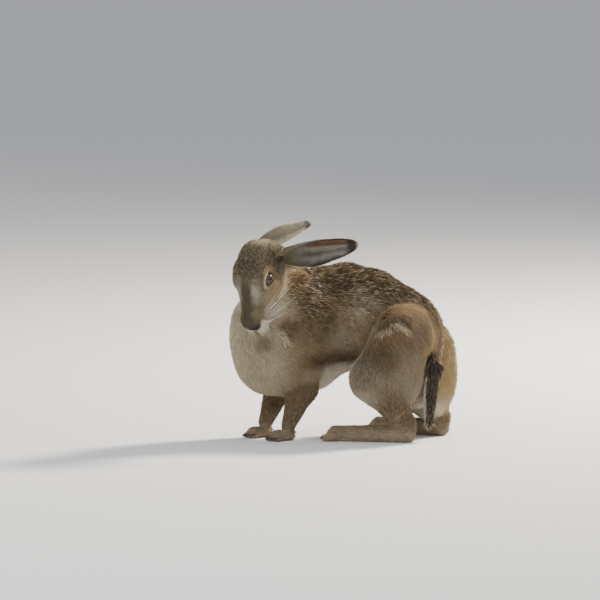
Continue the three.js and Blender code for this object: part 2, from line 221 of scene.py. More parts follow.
skull = soften(12, [
    ellipsoid(HEAD, (POLL + 32, 0, 2), (32, 0.47 * SKULL_WIDTH, 25)),
    ellipsoid(HEAD, (POLL + 30, 0, -20), (26, 22, 18)),
    ellipsoid(HEAD, (4, 0, 6), (30, 0.39 * SKULL_WIDTH, 18)),
    *both(lambda s: ellipsoid(HEAD, (-5, s * 14, -18), (30, 16, 22))),
    head_limb((8, 0, 1), (NOSE - 17, 0, 1), 18.5, 15.5),
    head_limb((-14, 0, -26), (NOSE - 20, 0, -18), 15, 10),
    *both(lambda s: head_limb((6, s * 14, -17), (NOSE - 22, s * 7, -11), 14, 9)),
    ellipsoid(HEAD, (NOSE - 9, 0, 0), (9, 9.5, 10.5)),
    *both(lambda s: ellipsoid(HEAD, (NOSE - 15, s * 8, -10), (13, 8.5, 11))),
    *both(lambda s: ellipsoid(HEAD, (-3, s * 20, 14), (14, 6, 5))),
])
orbits = soften(1, both(lambda s: ellipsoid(HEAD, (1, s * 33, 4), (15, 10, 10))))
NAPE = on_head(POLL + 34, 0, -26)
WITHERS = vec(-58, 6, 167)
neck = limb(NAPE, WITHERS, 32, 51)
throat = limb(on_head(-10, 0, -34), vec(-92, -12, 160), 24, 40)
print("head:", HEAD_LENGTH, "mm from poll to nose, with the nose at", on_head(NOSE, 0, 0).round(1))

# %% [markdown]
# ## Legs, feet and tail
# The thighs are big and flat-sided, the shanks thin, and the hindfeet very long: a hare rests on the
# whole of them. Four toes fan out from the ball of each foot. Both hindlegs have the same build, so they
# share one function and differ only in where the joints lie.

# %% Legs, feet and tail
HINDLEGS = (
    dict(
        hip=vec(78, -34, 144),
        thigh=vec(76, -42, 106),
        knee=vec(38, -54, 86),
        hock=vec(82, -58, 24),
        turn=-12,
    ),
    dict(
        hip=vec(100, 26, 122),
        thigh=vec(118, 30, 88),
        knee=vec(64, 62, 84),
        hock=vec(129, 33, 24),
        turn=-32,
    ),
)
HINDFOOT = (134, 36)
FOREPAW = (48, 26)
CLAW_LENGTH = 12
FORE_TURN = 35
TOES = (-0.375, -0.125, 0.125, 0.375)


def thigh_of(leg):
    return soften(18, [
        limb(leg["hip"], leg["knee"], 39, 27),
        ellipsoid(frame_of(leg["thigh"], heading(leg["turn"]), UP), (0, 0, 0), (32, 30, 56)),
        limb(leg["knee"], leg["hock"], 27, 13),
    ])


def foreleg_of(s):
    shoulder = vec(-78, 0, 112) + heading(FORE_TURN + 90) * s * 27
    elbow = (shoulder - 6 * heading(FORE_TURN)) * (1, 1, 0) + vec(0, 0, 70)
    wrist = (elbow + 22 * heading(FORE_TURN)) * (1, 1, 0) + vec(0, 0, 22)
    return dict(shoulder=shoulder, elbow=elbow, wrist=wrist, turn=FORE_TURN)


FORELEGS = both(foreleg_of)


def foot_plan(ankle, turn, size):
    """The frame of a foot on the floor, and the root and end of each toe."""
    width = size[1]
    length = size[0] - 0.36 * width
    sole = frame_of(ankle * (1, 1, 0), heading(turn), UP)
    ball = length - 0.7 * width
    toes = [
        (placed(sole, ball, 0.6 * q * width, 0.2 * width),
         placed(sole, length - CLAW_LENGTH - 0.7 * width * q * q, 0.95 * q * width, 0.13 * width))
        for q in TOES
    ]
    return sole, placed(sole, 0, 0, 0.3 * width), placed(sole, ball, 0, 0.25 * width), toes


def foot_of(ankle, turn, size):
    width = size[1]
    _, heel, ball, toes = foot_plan(ankle, turn, size)
    pad = limb(heel, ball, 0.36 * width, 0.33 * width)
    return soften(5, [pad, soften(1.2, [limb(a, b, 0.22 * width, 0.155 * width) for a, b in toes])])


TAIL = (vec(106, -26, 132), vec(117, -44, 98), vec(113, -50, 30))
tail = soften(8, [limb(TAIL[0], TAIL[1], 9, 11), limb(TAIL[1], TAIL[2], 11, 5.5)])
thighs = [thigh_of(leg) for leg in HINDLEGS]
forearms = [limb(leg["elbow"], leg["wrist"], 20, 10) for leg in FORELEGS]
hindfeet = [foot_of(leg["hock"], leg["turn"], HINDFOOT) for leg in HINDLEGS]
forepaws = [foot_of(leg["wrist"], leg["turn"], FOREPAW) for leg in FORELEGS]
upper_arms = [limb(leg["shoulder"], leg["elbow"], 30, 21) for leg in FORELEGS]
trunk = soften(13, [torso, neck, throat, *upper_arms])
print("hindfoot:", HINDFOOT, "forepaw:", FOREPAW, "long and wide, toes:", len(TOES))

# %% [markdown]
# ## Folds of the hide
# Where the haunch meets the flank the hide folds in a zigzag, and behind the cheek it rolls up as the
# head turns. Both are too small for ellipsoids alone: the fold is a groove along a line in the side view.

# %% Fold, roll and body
FOLD = np.array([(30, 130), (38, 143), (57, 152), (66, 161), (75, 157), (84, 150)])
nape_roll = limb(vec(-84, -66, 225), vec(-66, -58, 218), 12, 14)


def fold_across(points):
    """Height above and distance along the zigzag fold on the left haunch, both in the side view."""
    line = np.interp(points[..., 0], FOLD[:, 0], FOLD[:, 1])
    ends = smooth(26, 34, points[..., 0]) * smooth(88, 78, points[..., 0]) * smooth(-50, -62, points[..., 1])
    return points[..., 2] - line, ends


def body(points):
    flank = soft_min(trunk(points), soften(6, forearms)(points), 9)
    flank = soft_min(flank, nape_roll(points), 2.5)
    for thigh in thighs:
        haunch = thigh(points) - 1.5
        flank = flank + 3.5 * np.exp(-((np.maximum(haunch, 0) / 9) ** 2))
        flank = soft_min(flank, haunch, 5)
    above, ends = fold_across(points)
    rim = np.exp(-(((above - 6) / 4) ** 2))
    groove = np.exp(-((above / 3) ** 2))
    return flank + ends * (1.8 * rim - 1.6 * groove)


print("fold on the haunch:", len(FOLD), "points")

# %% [markdown]
# ## The face
# The eye of a hare bulges from the side of its head in a thick pale lid with a dark rim. Below the nose a
# cleft runs down to the lip, and the whisker pads swell on both sides of it. Each of these is a small
# field of its own, added to or hollowed out of the head.

# %% Eyes, lids, nostrils and mouth
EYE_RADIUS = 9.7
EYE_SPREAD = 20
LID = 1.9


def way_on_head(*xyz):
    return unit(HEAD[1] @ vec(*xyz))


def eye_frame_of(s):
    """The frame of an eye: x looks outwards and z points to the nose."""
    return frame_of(on_head(-1, s * EYE_SPREAD, 4), way_on_head(0.15, s * 0.9, 0.36), way_on_head(1, 0, 0))


EYES = both(eye_frame_of)
LID_OPENING = 8.5
LID_HEIGHT = 6.4


def lid_distance(eye, points):
    """Distance from the ring along the middle of the lids, which is longer along the face than across it."""
    p = local(eye, points)
    return np.hypot(np.hypot(p[..., 1] / 0.9, p[..., 2]) - LID_OPENING, p[..., 0] - LID_HEIGHT)


lid_slits = [limb(placed(eye, 8, 0, 0), placed(eye, 20, 0, 0), 6.9, 6.9) for eye in EYES]
eyeballs = [ellipsoid(eye, (0, 0, 0), (EYE_RADIUS - 0.1,) * 3) for eye in EYES]
LIP = (NOSE + 4, 0, -24)
pads = soften(1.5, both(lambda s: ellipsoid(HEAD, (NOSE - 3, s * 7.6, -14), (11, 7.6, 9.5))))
chin = ellipsoid(HEAD, (NOSE - 10, 1.5, -33), (12, 8.5, 8.5))
nostrils = soften(1, both(lambda s: head_limb((NOSE - 1, s * 3.6, 3.5), (NOSE - 6, s * 8.4, 2.5), 2.1, 1.6)))
breast_tuft = limb(on_head(NOSE - 1, 6, -35), vec(-80, -68, 137), 7.5, 5)
creases = soften(1, [
    head_limb((NOSE + 3, 0, -7), (NOSE + 7, 0, -16), 1.1, 1.1),
    head_limb((NOSE + 7, 0, -16), LIP, 1.1, 1.1),
    *both(lambda s: head_limb(LIP, (NOSE - 6, s * 13, -25), 1.6, 1.3)),
    *both(lambda s: head_limb((NOSE - 6, s * 13, -25), (NOSE - 26, s * 15.5, -18), 1.3, 0.5)),
])
cheek_roll = both(lambda s: ellipsoid(HEAD, (8, s * 17, -22), (17, 11, 10)))
print("eyes:", 2 * EYE_RADIUS, "mm across, in lids", 2 * LID, "mm thick")

# %% [markdown]
# ## Putting the head together
# The order matters: first the bone and the cheeks, then the neck, which stands off behind the cheek, then
# the hollows for the eyes, then pads, chin and lids on top, and last the cuts of slits, nostrils and
# lips.

# %% Field of the head


def head_field(points):
    bone = skull(points)
    cheek = soft_min(bone, soften(2, cheek_roll)(points), 5)
    behind = smooth(30, 10, abs(local(HEAD, points)[..., 0] - 2))
    nape = soft_min(neck(points), throat(points), 12)
    nape = nape + 3.0 * behind * np.exp(-((np.maximum(cheek, 0) / 8) ** 2))
    d = soft_min(cheek, nape, 12 - 8 * behind)
    d = -soft_min(-d, orbits(points), 6)
    d = soft_min(d, pads(points), 3)
    d = soft_min(d, chin(points), 3)
    d = soft_min(d, breast_tuft(points), 5)
    for eye in EYES:
        d = soft_min(d, lid_distance(eye, points) - LID, 2.0)
    for cut in lid_slits:
        d = -soft_min(-d, cut(points), 1.2)
    d = -soft_min(-d, nostrils(points), 1.2)
    d = -soft_min(-d, creases(points), 1.5)
    for ball in eyeballs:
        d = np.maximum(d, -ball(points))
    return d


print("the field at the tip of the nose is", head_field(on_head(NOSE, 0, 0)[None]).round(2))

# %% [markdown]
# ## Depth of the coat
# The CAD model reaches out to the tips of the fur. The skin therefore sinks by the depth of the coat,
# which is deepest on the body and least on face and feet. Scaling the skin down would sink its long ends
# too far.

# %% Coat depth and the field of the skin
BODY_COAT = 4.0
FACE_COAT = 1.0
FOOT_COAT = 1.4


def coat_depth(points):
    depth = mix(FACE_COAT, BODY_COAT, smooth(-4, 24, skull(points)))
    legs = 1 - smooth(26, 84, points[..., 2])
    return mix(depth, FOOT_COAT, legs)


def skin_field(points):
    trunk = soft_min(body(points), head_field(points), 4)
    trunk = soft_min(trunk, tail(points), 5)
    for foot in (*hindfeet, *forepaws):
        trunk = soft_min(trunk, foot(points), 6)
    return np.maximum(trunk + coat_depth(points), 0.05 - points[..., 2])


print("depth of coat on the shoulders:", coat_depth(vec(-76, 4, 202)[None]).round(2), "mm")

# %% [markdown]
# ## From a field to a mesh
# Surface nets put one point in each grid cell that the surface crosses and one face across each crossed
# edge. The grid here is finer round the head, where lids and lips need it, and a first coarse pass finds
# the few cells near the surface, so that the field isn't worked out in all the others.

# %% A grid with a fine middle
COARSE = 4


def axis_of(low, high, fine_low, fine_high, step, fine_step):
    coarse_part = np.arange(low, fine_low, step)
    fine_part = np.arange(fine_low, fine_high, fine_step)
    axis = np.concatenate([coarse_part, fine_part, np.arange(fine_high, high + step, step)])
    spare = -(len(axis) - 1) % COARSE
    return np.concatenate([axis, axis[-1] + step * np.arange(1, spare + 1)])


def grid_points(axes, index):
    return np.stack([axes[i][index[i]] for i in range(3)], -1)


def values_near(field_, axes):
    """Field values on the grid: exact near the surface, and of the right sign elsewhere."""
    shape = [len(a) for a in axes]
    coarse_axes = [a[::COARSE] for a in axes]
    coarse = np.meshgrid(*[np.arange(len(a)) for a in coarse_axes], indexing="ij")
    rough = field_(grid_points(coarse_axes, [c.ravel() for c in coarse])).reshape(coarse[0].shape)
    nearest = [
        np.minimum((np.arange(n) + COARSE // 2) // COARSE, len(c) - 1) for n, c in zip(shape, coarse_axes)
    ]
    values = rough[np.ix_(*nearest)]
    widest = max(np.diff(a).max() for a in coarse_axes)
    near = np.nonzero(abs(values) < 1.3 * widest)
    for part in np.array_split(np.arange(len(near[0])), max(1, len(near[0]) // 200000)):
        index = [n[part] for n in near]
        values[tuple(index)] = field_(grid_points(axes, index))
    return values


STEP = 2.1
FINE = 1.05
print("grid steps:", STEP, "mm, and", FINE, "mm round the head")

# %% [markdown]
# ## Points and faces of the net
# In each cell that the surface crosses, the point is the mean of the crossings on the cell's edges. This
# gives even four-sided faces, where marching cubes would leave slivers.

# %% Surface nets
def surface_nets(values, axes):
    inside = values < 0
    corners = [(c & 1, c >> 1 & 1, c >> 2) for c in range(8)]

    def shifted(array, offset):
        return array[tuple(slice(o, array.shape[i] - 1 + o) for i, o in enumerate(offset))]

    count = sum(shifted(inside, c).astype(np.int8) for c in corners)
    cells = np.nonzero((count > 0) & (count < 8))
    total = np.zeros((len(cells[0]), 3))
    crossings = np.zeros(len(cells[0]))
    for p in range(8):
        for bit in (1, 2, 4):
            if p & bit:
                continue
            a, b = corners[p], corners[p | bit]
            va = values[tuple(cells[i] + a[i] for i in range(3))]
            vb = values[tuple(cells[i] + b[i] for i in range(3))]
            hit = (va < 0) != (vb < 0)
            t = np.where(hit, va / np.where(hit, va - vb, 1), 0)
            here = np.stack([a[i] + t * (b[i] - a[i]) for i in range(3)], -1)
            total += here * hit[:, None]
            crossings += hit
    place = np.stack(cells, -1) + total / crossings[:, None]
    points = np.stack([np.interp(place[:, i], np.arange(len(axes[i])), axes[i]) for i in range(3)], -1)
    number = np.full([n - 1 for n in values.shape], -1)
    number[cells] = np.arange(len(points))
    quads = []
    for a in range(3):
        u, w = (a + 1) % 3, (a + 2) % 3
        low = [slice(1, n - 1) for n in values.shape]
        high = list(low)
        high[a] = slice(2, values.shape[a])
        first = inside[tuple(low)]
        crossed = np.nonzero(first != inside[tuple(high)])
        at = [c + 1 for c in crossed]
        square = []
        for du, dw in ((1, 1), (0, 1), (0, 0), (1, 0)):
            index = list(at)
            index[u] = at[u] - du
            index[w] = at[w] - dw
            square.append(number[tuple(index)])
        square = np.stack(square, -1)
        outwards = first[crossed]
        quads.append(np.where(outwards[:, None], square, square[:, ::-1]))
    return points, np.concatenate(quads)


def slopes(field_, points, reach=0.4):
    return np.stack([
        (field_(points + reach * axis) - field_(points - reach * axis)) / (2 * reach) for axis in np.eye(3)
    ], -1)


axes = [
    axis_of(-164, 160, -160, -78, STEP, FINE),
    axis_of(-124, 118, -121, -52, STEP, FINE),
    axis_of(-4, 300, 150, 262, STEP, FINE),
]
points, quads = surface_nets(values_near(skin_field, axes), axes)
for _ in range(2):
    slope = slopes(skin_field, points)
    push = -skin_field(points)[:, None] * slope / np.maximum((slope**2).sum(1, keepdims=True), 0.3)
    length = np.linalg.norm(push, axis=1, keepdims=True)
    points += push * np.minimum(1, 0.5 * FINE / np.maximum(length, 1e-9))
print("skin of the body:", len(points), "points,", 2 * len(quads), "triangles")

# %% [markdown]
# ## The ears
# An ear is a thin leaf of skin, rolled into a tube at its root and opening to a cup. A field would need a
# very fine grid for it, so it is a sheet of rows and columns instead, with an outer and an inner face. A
# hare turns each ear by itself: the left one lies open here, and the right one is seen from behind.

# %% Ear sheets
EAR_LENGTH = 112
EAR_BREADTH = 54
EAR_SKIN = 1.9
EAR_ROWS = 56
EAR_COLUMNS = 30
EARS = (
    (frame_of(on_head(-34, 21, -12), vec(0.985, 0.05, 0.115), vec(-0.1, -0.85, -0.4)), 130),
    (frame_of(on_head(-33, -6, -16), vec(0.622, 0.731, 0.279), vec(-0.5, 0.4, 0.65)), 75),
)


def ear_points(s, q, out, unroll):
    """Points of one face of an ear: s from root to tip, q from edge to edge, out 1 outside and -1 inside."""
    swell = 0.68 + 0.32 * np.sin(math.pi * np.minimum(1.25 * s, 0.5 + 0.5 * s))
    half = 0.5 * EAR_BREADTH * swell * np.sqrt(1.02 - s**4)
    roll = np.radians(165 - unroll * np.sqrt(s))
    ripple = 0.5 * np.sin(9 * s + 2 * q) * abs(q) ** 3
    radius = half / roll + out * EAR_SKIN * (1 - 0.75 * q * q) * (1.2 - 0.6 * s) / 2
    bow = 10 * s * (1 - s)
    z = half / roll - radius * np.cos(q * roll) - bow + ripple
    return np.stack([EAR_LENGTH * s, radius * np.sin(q * roll), z], -1)


def ear_sheet(ear_frame, unroll):
    s, q = np.meshgrid(np.linspace(0, 1, EAR_ROWS + 1), np.linspace(-1, 1, EAR_COLUMNS + 1), indexing="ij")
    faces = []
    sides = []
    for out in (1, -1):
        p = ear_points(s, q, out, unroll)
        sides.append(ear_frame[0] + p.reshape(-1, 3) @ ear_frame[1].T)
    across = EAR_COLUMNS + 1
    inner = (EAR_ROWS + 1) * across
    for i in range(EAR_ROWS):
        for j in range(EAR_COLUMNS):
            a = i * across + j
            faces.append((a, a + 1, a + 1 + across, a + across))
            faces.append((inner + a, inner + a + across, inner + a + 1 + across, inner + a + 1))
        a = i * across
        b = a + EAR_COLUMNS
        faces.append((a + across, inner + a + across, inner + a, a))
        faces.append((b, inner + b, inner + b + across, b + across))
    for j in range(EAR_COLUMNS):
        b = EAR_ROWS * across + j
        faces.append((j, inner + j, inner + j + 1, j + 1))
        faces.append((b + 1, inner + b + 1, inner + b, b))
    s, q = s.ravel(), q.ravel()
    out = np.repeat([1.0, -1.0], len(s))
    return np.concatenate(sides), faces, np.tile(s, 2), np.tile(q, 2), out


print("ear:", EAR_LENGTH, "mm long,", EAR_BREADTH, "mm broad and", EAR_SKIN, "mm thick at its root")

# %% [markdown]
# ## One skin
# The ears are closed sheets that stand a little way inside the head. A Boolean union joins them to the
# body, so that no wall is left hidden inside. The fields stand in their own millimetres, and the CAD
# model gives the shift to the part's frame.

# %% Join body and ears
eye_low, eye_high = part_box("eye_left")
SHIFT = np.array((eye_low + eye_high) / 2) / MM - EYES[0][0]
print("the CAD model stands", SHIFT.round(2), "millimetres from the fields")


def mesh_of(name, points_mm, faces):
    mesh = bpy.data.meshes.new(name)
    mesh.from_pydata(((points_mm + SHIFT) * MM).tolist(), [], [tuple(f) for f in faces])
    mesh.update()
    return mesh


def object_of(name, mesh):
    piece = bpy.data.objects.new(name, mesh)
    bpy.context.scene.collection.objects.link(piece)
    return piece


skin = object_of("skin", mesh_of("skin", points, quads.tolist()))
ear_facts = []
for side, (ear_frame, unroll) in zip(("left", "right"), EARS):
    ear_at, ear_faces, s, q, out = ear_sheet(ear_frame, unroll)
    ear = object_of("ear", mesh_of("ear", ear_at, ear_faces))
    ear_facts.append((ear_at, s, q, out))
    join = skin.modifiers.new("join", "BOOLEAN")
    join.operation = "UNION"
    join.solver = "MANIFOLD"
    join.object = ear
    bpy.context.view_layer.update()
    joined = bpy.data.meshes.new_from_object(skin.evaluated_get(bpy.context.evaluated_depsgraph_get()))
    skin.modifiers.clear()
    skin.data = joined
    bpy.data.objects.remove(ear)
print("whole skin:", len(skin.data.vertices), "points,", len(skin.data.polygons), "faces")

# %% [markdown]
# ## Where each point of the skin belongs
# The coat needs to know, at every point, which way the hair lies, how long and thick it is, and what
# colour. All of this is worked out from the same named forms, so that the markings sit on the animal and
# not on a picture of it.

# %% Measure the skin
count = len(skin.data.vertices)
flat = np.empty(count * 3, np.float32)
skin.data.vertices.foreach_get("co", flat)
place = flat.reshape(-1, 3).astype(float) / MM - SHIFT
skin.data.vertex_normals.foreach_get("vector", flat)
normal = flat.reshape(-1, 3).astype(float)

ear_of = np.zeros(count, int)
ear_s = np.zeros(count)
ear_q = np.zeros(count)
ear_out = np.zeros(count)
for number, (ear_at, s, q, out) in enumerate(ear_facts, 1):
    tree = kdtree.KDTree(len(ear_at))
    for i, p in enumerate(ear_at):
        tree.insert(p, i)
    tree.balance()
    near = np.nonzero(np.linalg.norm(place - ear_at.mean(0), axis=1) < 90)[0]
    for i in near:
        _, found, distance = tree.find(place[i])
        if distance < 0.6:
            ear_of[i], ear_s[i], ear_q[i], ear_out[i] = number, s[found], q[found], out[found]
on_ear = (ear_of > 0) & (ear_s > 0.06)
ear_mask = on_ear.astype(float)

face = local(HEAD, place)
hx, hy, hz = face.T
skull_gap = np.minimum(skull(place), soften(2, cheek_roll)(place))
head_near = smooth(mix(14, 5, smooth(-30, -8, hx) * smooth(-2, -14, hz)), 1, skull_gap)
thigh_near = [1 - smooth(-1, 10, thigh(place)) for thigh in thighs]
x, y, z = place.T
low_legs = 1 - smooth(40, 72, z)
on_tail = (1 - smooth(-2, 3, tail(place))) * (1 - smooth(120, 134, z))
hind_low = [1 - smooth(0, 8, np.minimum(foot(place), limb(leg["knee"], leg["hock"], 22, 13)(place)))
            for foot, leg in zip(hindfeet, HINDLEGS)]
fore_low = [1 - smooth(0, 8, np.minimum(paw(place), arm(place))) for paw, arm in zip(forepaws, forearms)]

print("points on the ears:", on_ear.sum(), "on the face:", (head_near > 0.5).sum())

# %% [markdown]
# ## Which way the hair lies
# Hair lies from nose to tail and down the sides, and on feet and ears it runs to their tips. A comb brush
# would do this by hand. Here the ways of the parts are blended, and what points out of the skin is taken
# off.

# %% The lie of the hair
spine_turn = np.interp(x, [-110, -76, -40, 0, 40, 76, 95], [45, 35, 18, 0, -20, -40, -44])
back_way = -np.stack([-np.cos(np.radians(spine_turn)), -np.sin(np.radians(spine_turn)), 0 * x], -1)
droop = smooth(215, 90, z)
lie = back_way + np.outer(0.15 + 0.75 * droop, -UP)
front = smooth(-80, -125, x) * smooth(210, 160, z)
lie = mix(lie, np.array([0.35, 0.1, -1.0]), 0.8 * front)
for near, leg in zip(thigh_near, HINDLEGS):
    lie = mix(lie, -0.9 * UP - 0.55 * heading(leg["turn"]), 0.75 * near)
for near, leg in zip(hind_low, HINDLEGS):
    along_foot = mix(-UP + 0 * heading(leg["turn"]), heading(leg["turn"]) - 0.15 * UP, smooth(48, 22, z))
    lie = mix(lie, along_foot, near)
for near, leg in zip(fore_low, FORELEGS):
    along_foot = mix(-UP + 0.2 * heading(leg["turn"]), heading(leg["turn"]) - 0.2 * UP, smooth(30, 12, z))
    lie = mix(lie, along_foot, near)
lie = mix(lie, unit(TAIL[2] - TAIL[1]) + 0 * lie, on_tail)
head_back = -HEAD[1][:, 0]
sideways = np.sign(hy)[:, None] * HEAD[1][:, 1] * smooth(5, 30, abs(hy))[:, None]
head_lie = head_back + 0.35 * sideways - 0.25 * smooth(0, -20, hz)[:, None] * HEAD[1][:, 2]
lie = mix(lie, head_lie, head_near)
for number, (ear_frame, _) in enumerate(EARS, 1):
    outward = np.sign(ear_q)[:, None] * ear_frame[1][:, 1] * 0.5
    to_tip = ear_frame[1][:, 0] + outward * (ear_out < 0)[:, None]
    lie = np.where(((ear_of == number) & on_ear)[:, None], to_tip, lie)
lie = unit(lie - (lie * normal).sum(1, keepdims=True) * normal + 1e-9)
print("mean way of the hair:", lie.mean(0).round(2))

# %% [markdown]
# ## How long, wide and deep the hair is
# Body hair is 10 to 15 mm long here, and on the muzzle less than 3 mm. Long tufts there would hide the
# lids and the lips. A tuft rises about as far as the skin has sunk, so the coat stays close to the CAD
# outline.

# %% Length, width and depth of the tufts
length = mix(13.0 + 0 * x, 10.0, smooth(170, 120, z))
length = mix(length, 15.0, smooth(95, 125, x))
for near in (*hind_low, *fore_low):
    length = mix(length, 7.5, near)
length = mix(length, 6.5, smooth(34, 16, z))
length = mix(length, 14.0, on_tail)
length = mix(length, 12.0, smooth(6, 0, breast_tuft(place)))
face_length = mix(5.5 + 0 * x, 2.6, smooth(-30, 20, hx))
length = mix(length, face_length, head_near)
length = np.where(on_ear, mix(4.0, 2.6, abs(ear_q)), length)
lid_gap = np.min([lid_distance(eye, place) for eye in EYES], 0)
eye_gap = np.min([np.linalg.norm(place - eye[0], axis=1) for eye in EYES], 0) - EYE_RADIUS
length = mix(length, 1.5, smooth(7, 2.5, lid_gap) * head_near)
width = 0.32 + 0.055 * length
depth_of = np.minimum(coat_depth(place) * 0.95, 0.36 * length)
depth_of = np.where(on_ear, 0.5, depth_of)
print("tufts from", length.min().round(1), "to", length.max().round(1), "mm long")

# %% [markdown]
# ## Markings
# A brown hare is grizzled: black, buff and rusty hair on the back, greyer flanks, a white belly, an
# orange nape, black ear tips and a tail that is black on top. A painted picture would have to be wrapped
# round the skin. Here each marking is a colour laid over a mask, and a mask is a rule on the place. Some
# masks paint light and shade as well: sunlit rims and sheen, and shade in folds, creases and under the flank.

# %% Laying colours
def rgb(*values):
    return np.array([(v / 255) ** 2.2 for v in values])


def painted(base, colour, *masks):
    """base, with the colour laid over it where the product of the masks is near 1."""
    return mix(base, colour, math.prod(masks))


def patches(scale, seed):
    """Smooth random patches over the skin, from -1 to 1, scale millimetres wide."""
    offset = Vector((seed * 17.3, seed * 5.1, seed * 9.7))
    return np.array([noise.noise(Vector(p) / scale + offset) for p in place])


def around(spot, radius, soft):
    """1 within radius of a spot on the left side, seen from the side, fading to 0 over soft."""
    return smooth(radius + soft, radius, np.hypot(x - spot[0], z - spot[1])) * smooth(10, -10, y)


blotch = patches(16, 1)
grain = patches(6, 2)
speck = patches(2.6, 3)
print("spread of blotch, grain and speck:", [v.std().round(2) for v in (blotch, grain, speck)])

# %% [markdown]
# ## Back, flanks and breast
# The back is darkest, with a painted gold sheen where the sun catches it, and the flanks are greyer. A
# long band of painted shade lies under the flank, and painted shade darkens the throat behind the cheek
# and the breast under the muzzle. The edges wander with the random patches, so that no marking ends in a
# ruled line.

# %% Back, flanks and breast
BACK = rgb(120, 101, 74)
DARK_BACK_AND_FOLD_SHADE = rgb(74, 60, 45)
FLANK = rgb(136, 116, 90)
GREY = rgb(156, 147, 130)
GOLD_AND_SHEEN = rgb(196, 172, 122)
BREAST = rgb(184, 171, 146)
THROAT_BROWN_IN_SHADE = rgb(100, 76, 54)
BREAST_SHADE = rgb(112, 100, 82)
UNDER_FLANK_SHADE = rgb(88, 67, 48)
side_height = smooth(140, 205, z + 24 * blotch)
# painted sunlight: skin that faces up counts as sunlit
sunlit_top = smooth(0.6, 0.95, normal[:, 2])
breast_near = smooth(-58, -100, x) * smooth(215, 185, z)
# painted shade: a long dark band under the flank
under_flank_shade = smooth(128, 112, z) * smooth(94, 104, z) * smooth(-70, -46, x) * smooth(44, 10, x)
pelt = mix(FLANK, BACK, side_height)
pelt = painted(pelt, DARK_BACK_AND_FOLD_SHADE, smooth(168, 205, z + 26 * grain), smooth(-100, -55, x), 0.85)
# painted sheen: gold on the sunlit top of the back
pelt = painted(pelt, GOLD_AND_SHEEN, sunlit_top, smooth(190, 215, z), smooth(-0.3, 0.5, grain), 0.5)
pelt = painted(pelt, DARK_BACK_AND_FOLD_SHADE, around((-44, 166), 14, 28), smooth(-0.6, 0.4, grain), 0.85)
pelt = painted(pelt, GREY, around((18, 182), 10, 26), smooth(-0.35, 0.35, grain), 0.8)
pelt = painted(pelt, GREY, around((-8, 138), 6, 26), 0.45)
pelt = painted(pelt, BREAST, breast_near, 0.9)
# brown fur of the throat behind the cheek, darkened as painted shade
pelt = painted(pelt, THROAT_BROWN_IN_SHADE, around((-84, 155), 8, 16), 0.8)
pelt = painted(pelt, BREAST_SHADE, around((-112, 138), 5, 12), 0.7)
# painted shade under the flank
pelt = painted(pelt, UNDER_FLANK_SHADE, under_flank_shade, 0.85)
print("mean colour of back and flanks:", pelt.mean(0).round(3))

# %% [markdown]
# ## Haunch, belly, legs and tail
# The haunch is rusty gold on top, lightened there by painted sunlight that ends in a pale sunlit rim. A
# pale fold runs across it, with painted shade in the dip above it. The belly is white where the skin
# faces down. The tail is black on its upper side and pale below, so its colour follows the way that its
# skin faces.

# %% Haunch, belly, legs and tail
HAUNCH = rgb(124, 107, 84)
HAUNCH_SHADE = rgb(92, 74, 55)
HAUNCH_TOP_SUNLIT = rgb(174, 146, 108)
HAUNCH_SUNLIT_RIM = rgb(204, 184, 146)
FOLD_RUST = rgb(122, 92, 62)
FOLD_PALE = rgb(204, 188, 158)
BELLY = rgb(222, 212, 194)
NAPE_RUST = rgb(112, 86, 54)
NAPE_SUNLIT_RIM = rgb(180, 148, 104)
TUFT_PALE = rgb(184, 172, 148)
LEG = rgb(114, 96, 73)
PALE_FOOT = rgb(160, 142, 116)
TAIL_WHITE = rgb(206, 198, 182)
TAIL_BLACK = rgb(60, 51, 43)
TAIL_BACK_WAY = unit(vec(0.5, -0.75, 0.2))
haunch_pelt = painted(HAUNCH, GREY, smooth(135, 105, z + 24 * blotch), 0.4)
haunch_pelt = painted(haunch_pelt, GOLD_AND_SHEEN, smooth(100, 125, x + 10 * blotch), 0.6)
haunch_pelt = painted(haunch_pelt, HAUNCH_SHADE, around((50, 116), 8, 22), 0.65)
# rusty gold fur on the top of the haunch, lightened as painted sunlight
haunch_pelt = painted(haunch_pelt, HAUNCH_TOP_SUNLIT, smooth(158, 180, z + 8 * grain))
# painted sunlight: a pale rim along the top of the haunch
haunch_pelt = painted(haunch_pelt, HAUNCH_SUNLIT_RIM, smooth(176, 186, z + 4 * grain), 0.7)
for near in thigh_near:
    pelt = mix(pelt, haunch_pelt, near)
fold_above, fold_ends = fold_across(place)
# painted shade: a dark band in the dip just above the fold
pelt = painted(pelt, DARK_BACK_AND_FOLD_SHADE, fold_ends, np.exp(-(((fold_above - 9) / 5) ** 2)), 0.85)
pelt = painted(pelt, FOLD_RUST, fold_ends, np.exp(-(((fold_above + 9) / 5) ** 2)), 0.6)
pelt = painted(pelt, FOLD_PALE, fold_ends, np.exp(-((fold_above / 2.2) ** 2)), 0.8)
belly = smooth(-0.1, -0.6, normal[:, 2]) * smooth(112, 98, z) * smooth(-66, -40, x)
pelt = painted(pelt, BELLY, belly, 1 - 0.75 * thigh_near[0])
roll_near = smooth(7, 0, nape_roll(place) + 3 * grain) * smooth(-18, -34, y) * 0.85
# painted sunlight: the rusty roll turns to a pale rim along its top
pelt = painted(pelt, mix(NAPE_RUST, NAPE_SUNLIT_RIM, smooth(221, 232, z)), roll_near)
pelt = painted(pelt, TUFT_PALE, smooth(4, 0, breast_tuft(place)), 0.7)
for near in (*hind_low, *fore_low):
    pelt = mix(pelt, mix(LEG, PALE_FOOT, smooth(30, 8, z)), near)
tail_back = (normal * TAIL_BACK_WAY).sum(1)
tail_pelt = mix(TAIL_WHITE, TAIL_BLACK, smooth(-0.35, 0.25, tail_back + 0.6 * grain))
pelt = mix(pelt, tail_pelt, on_tail)
print("points of belly:", (belly > 0.5).sum(), "and of tail:", (on_tail > 0.5).sum())
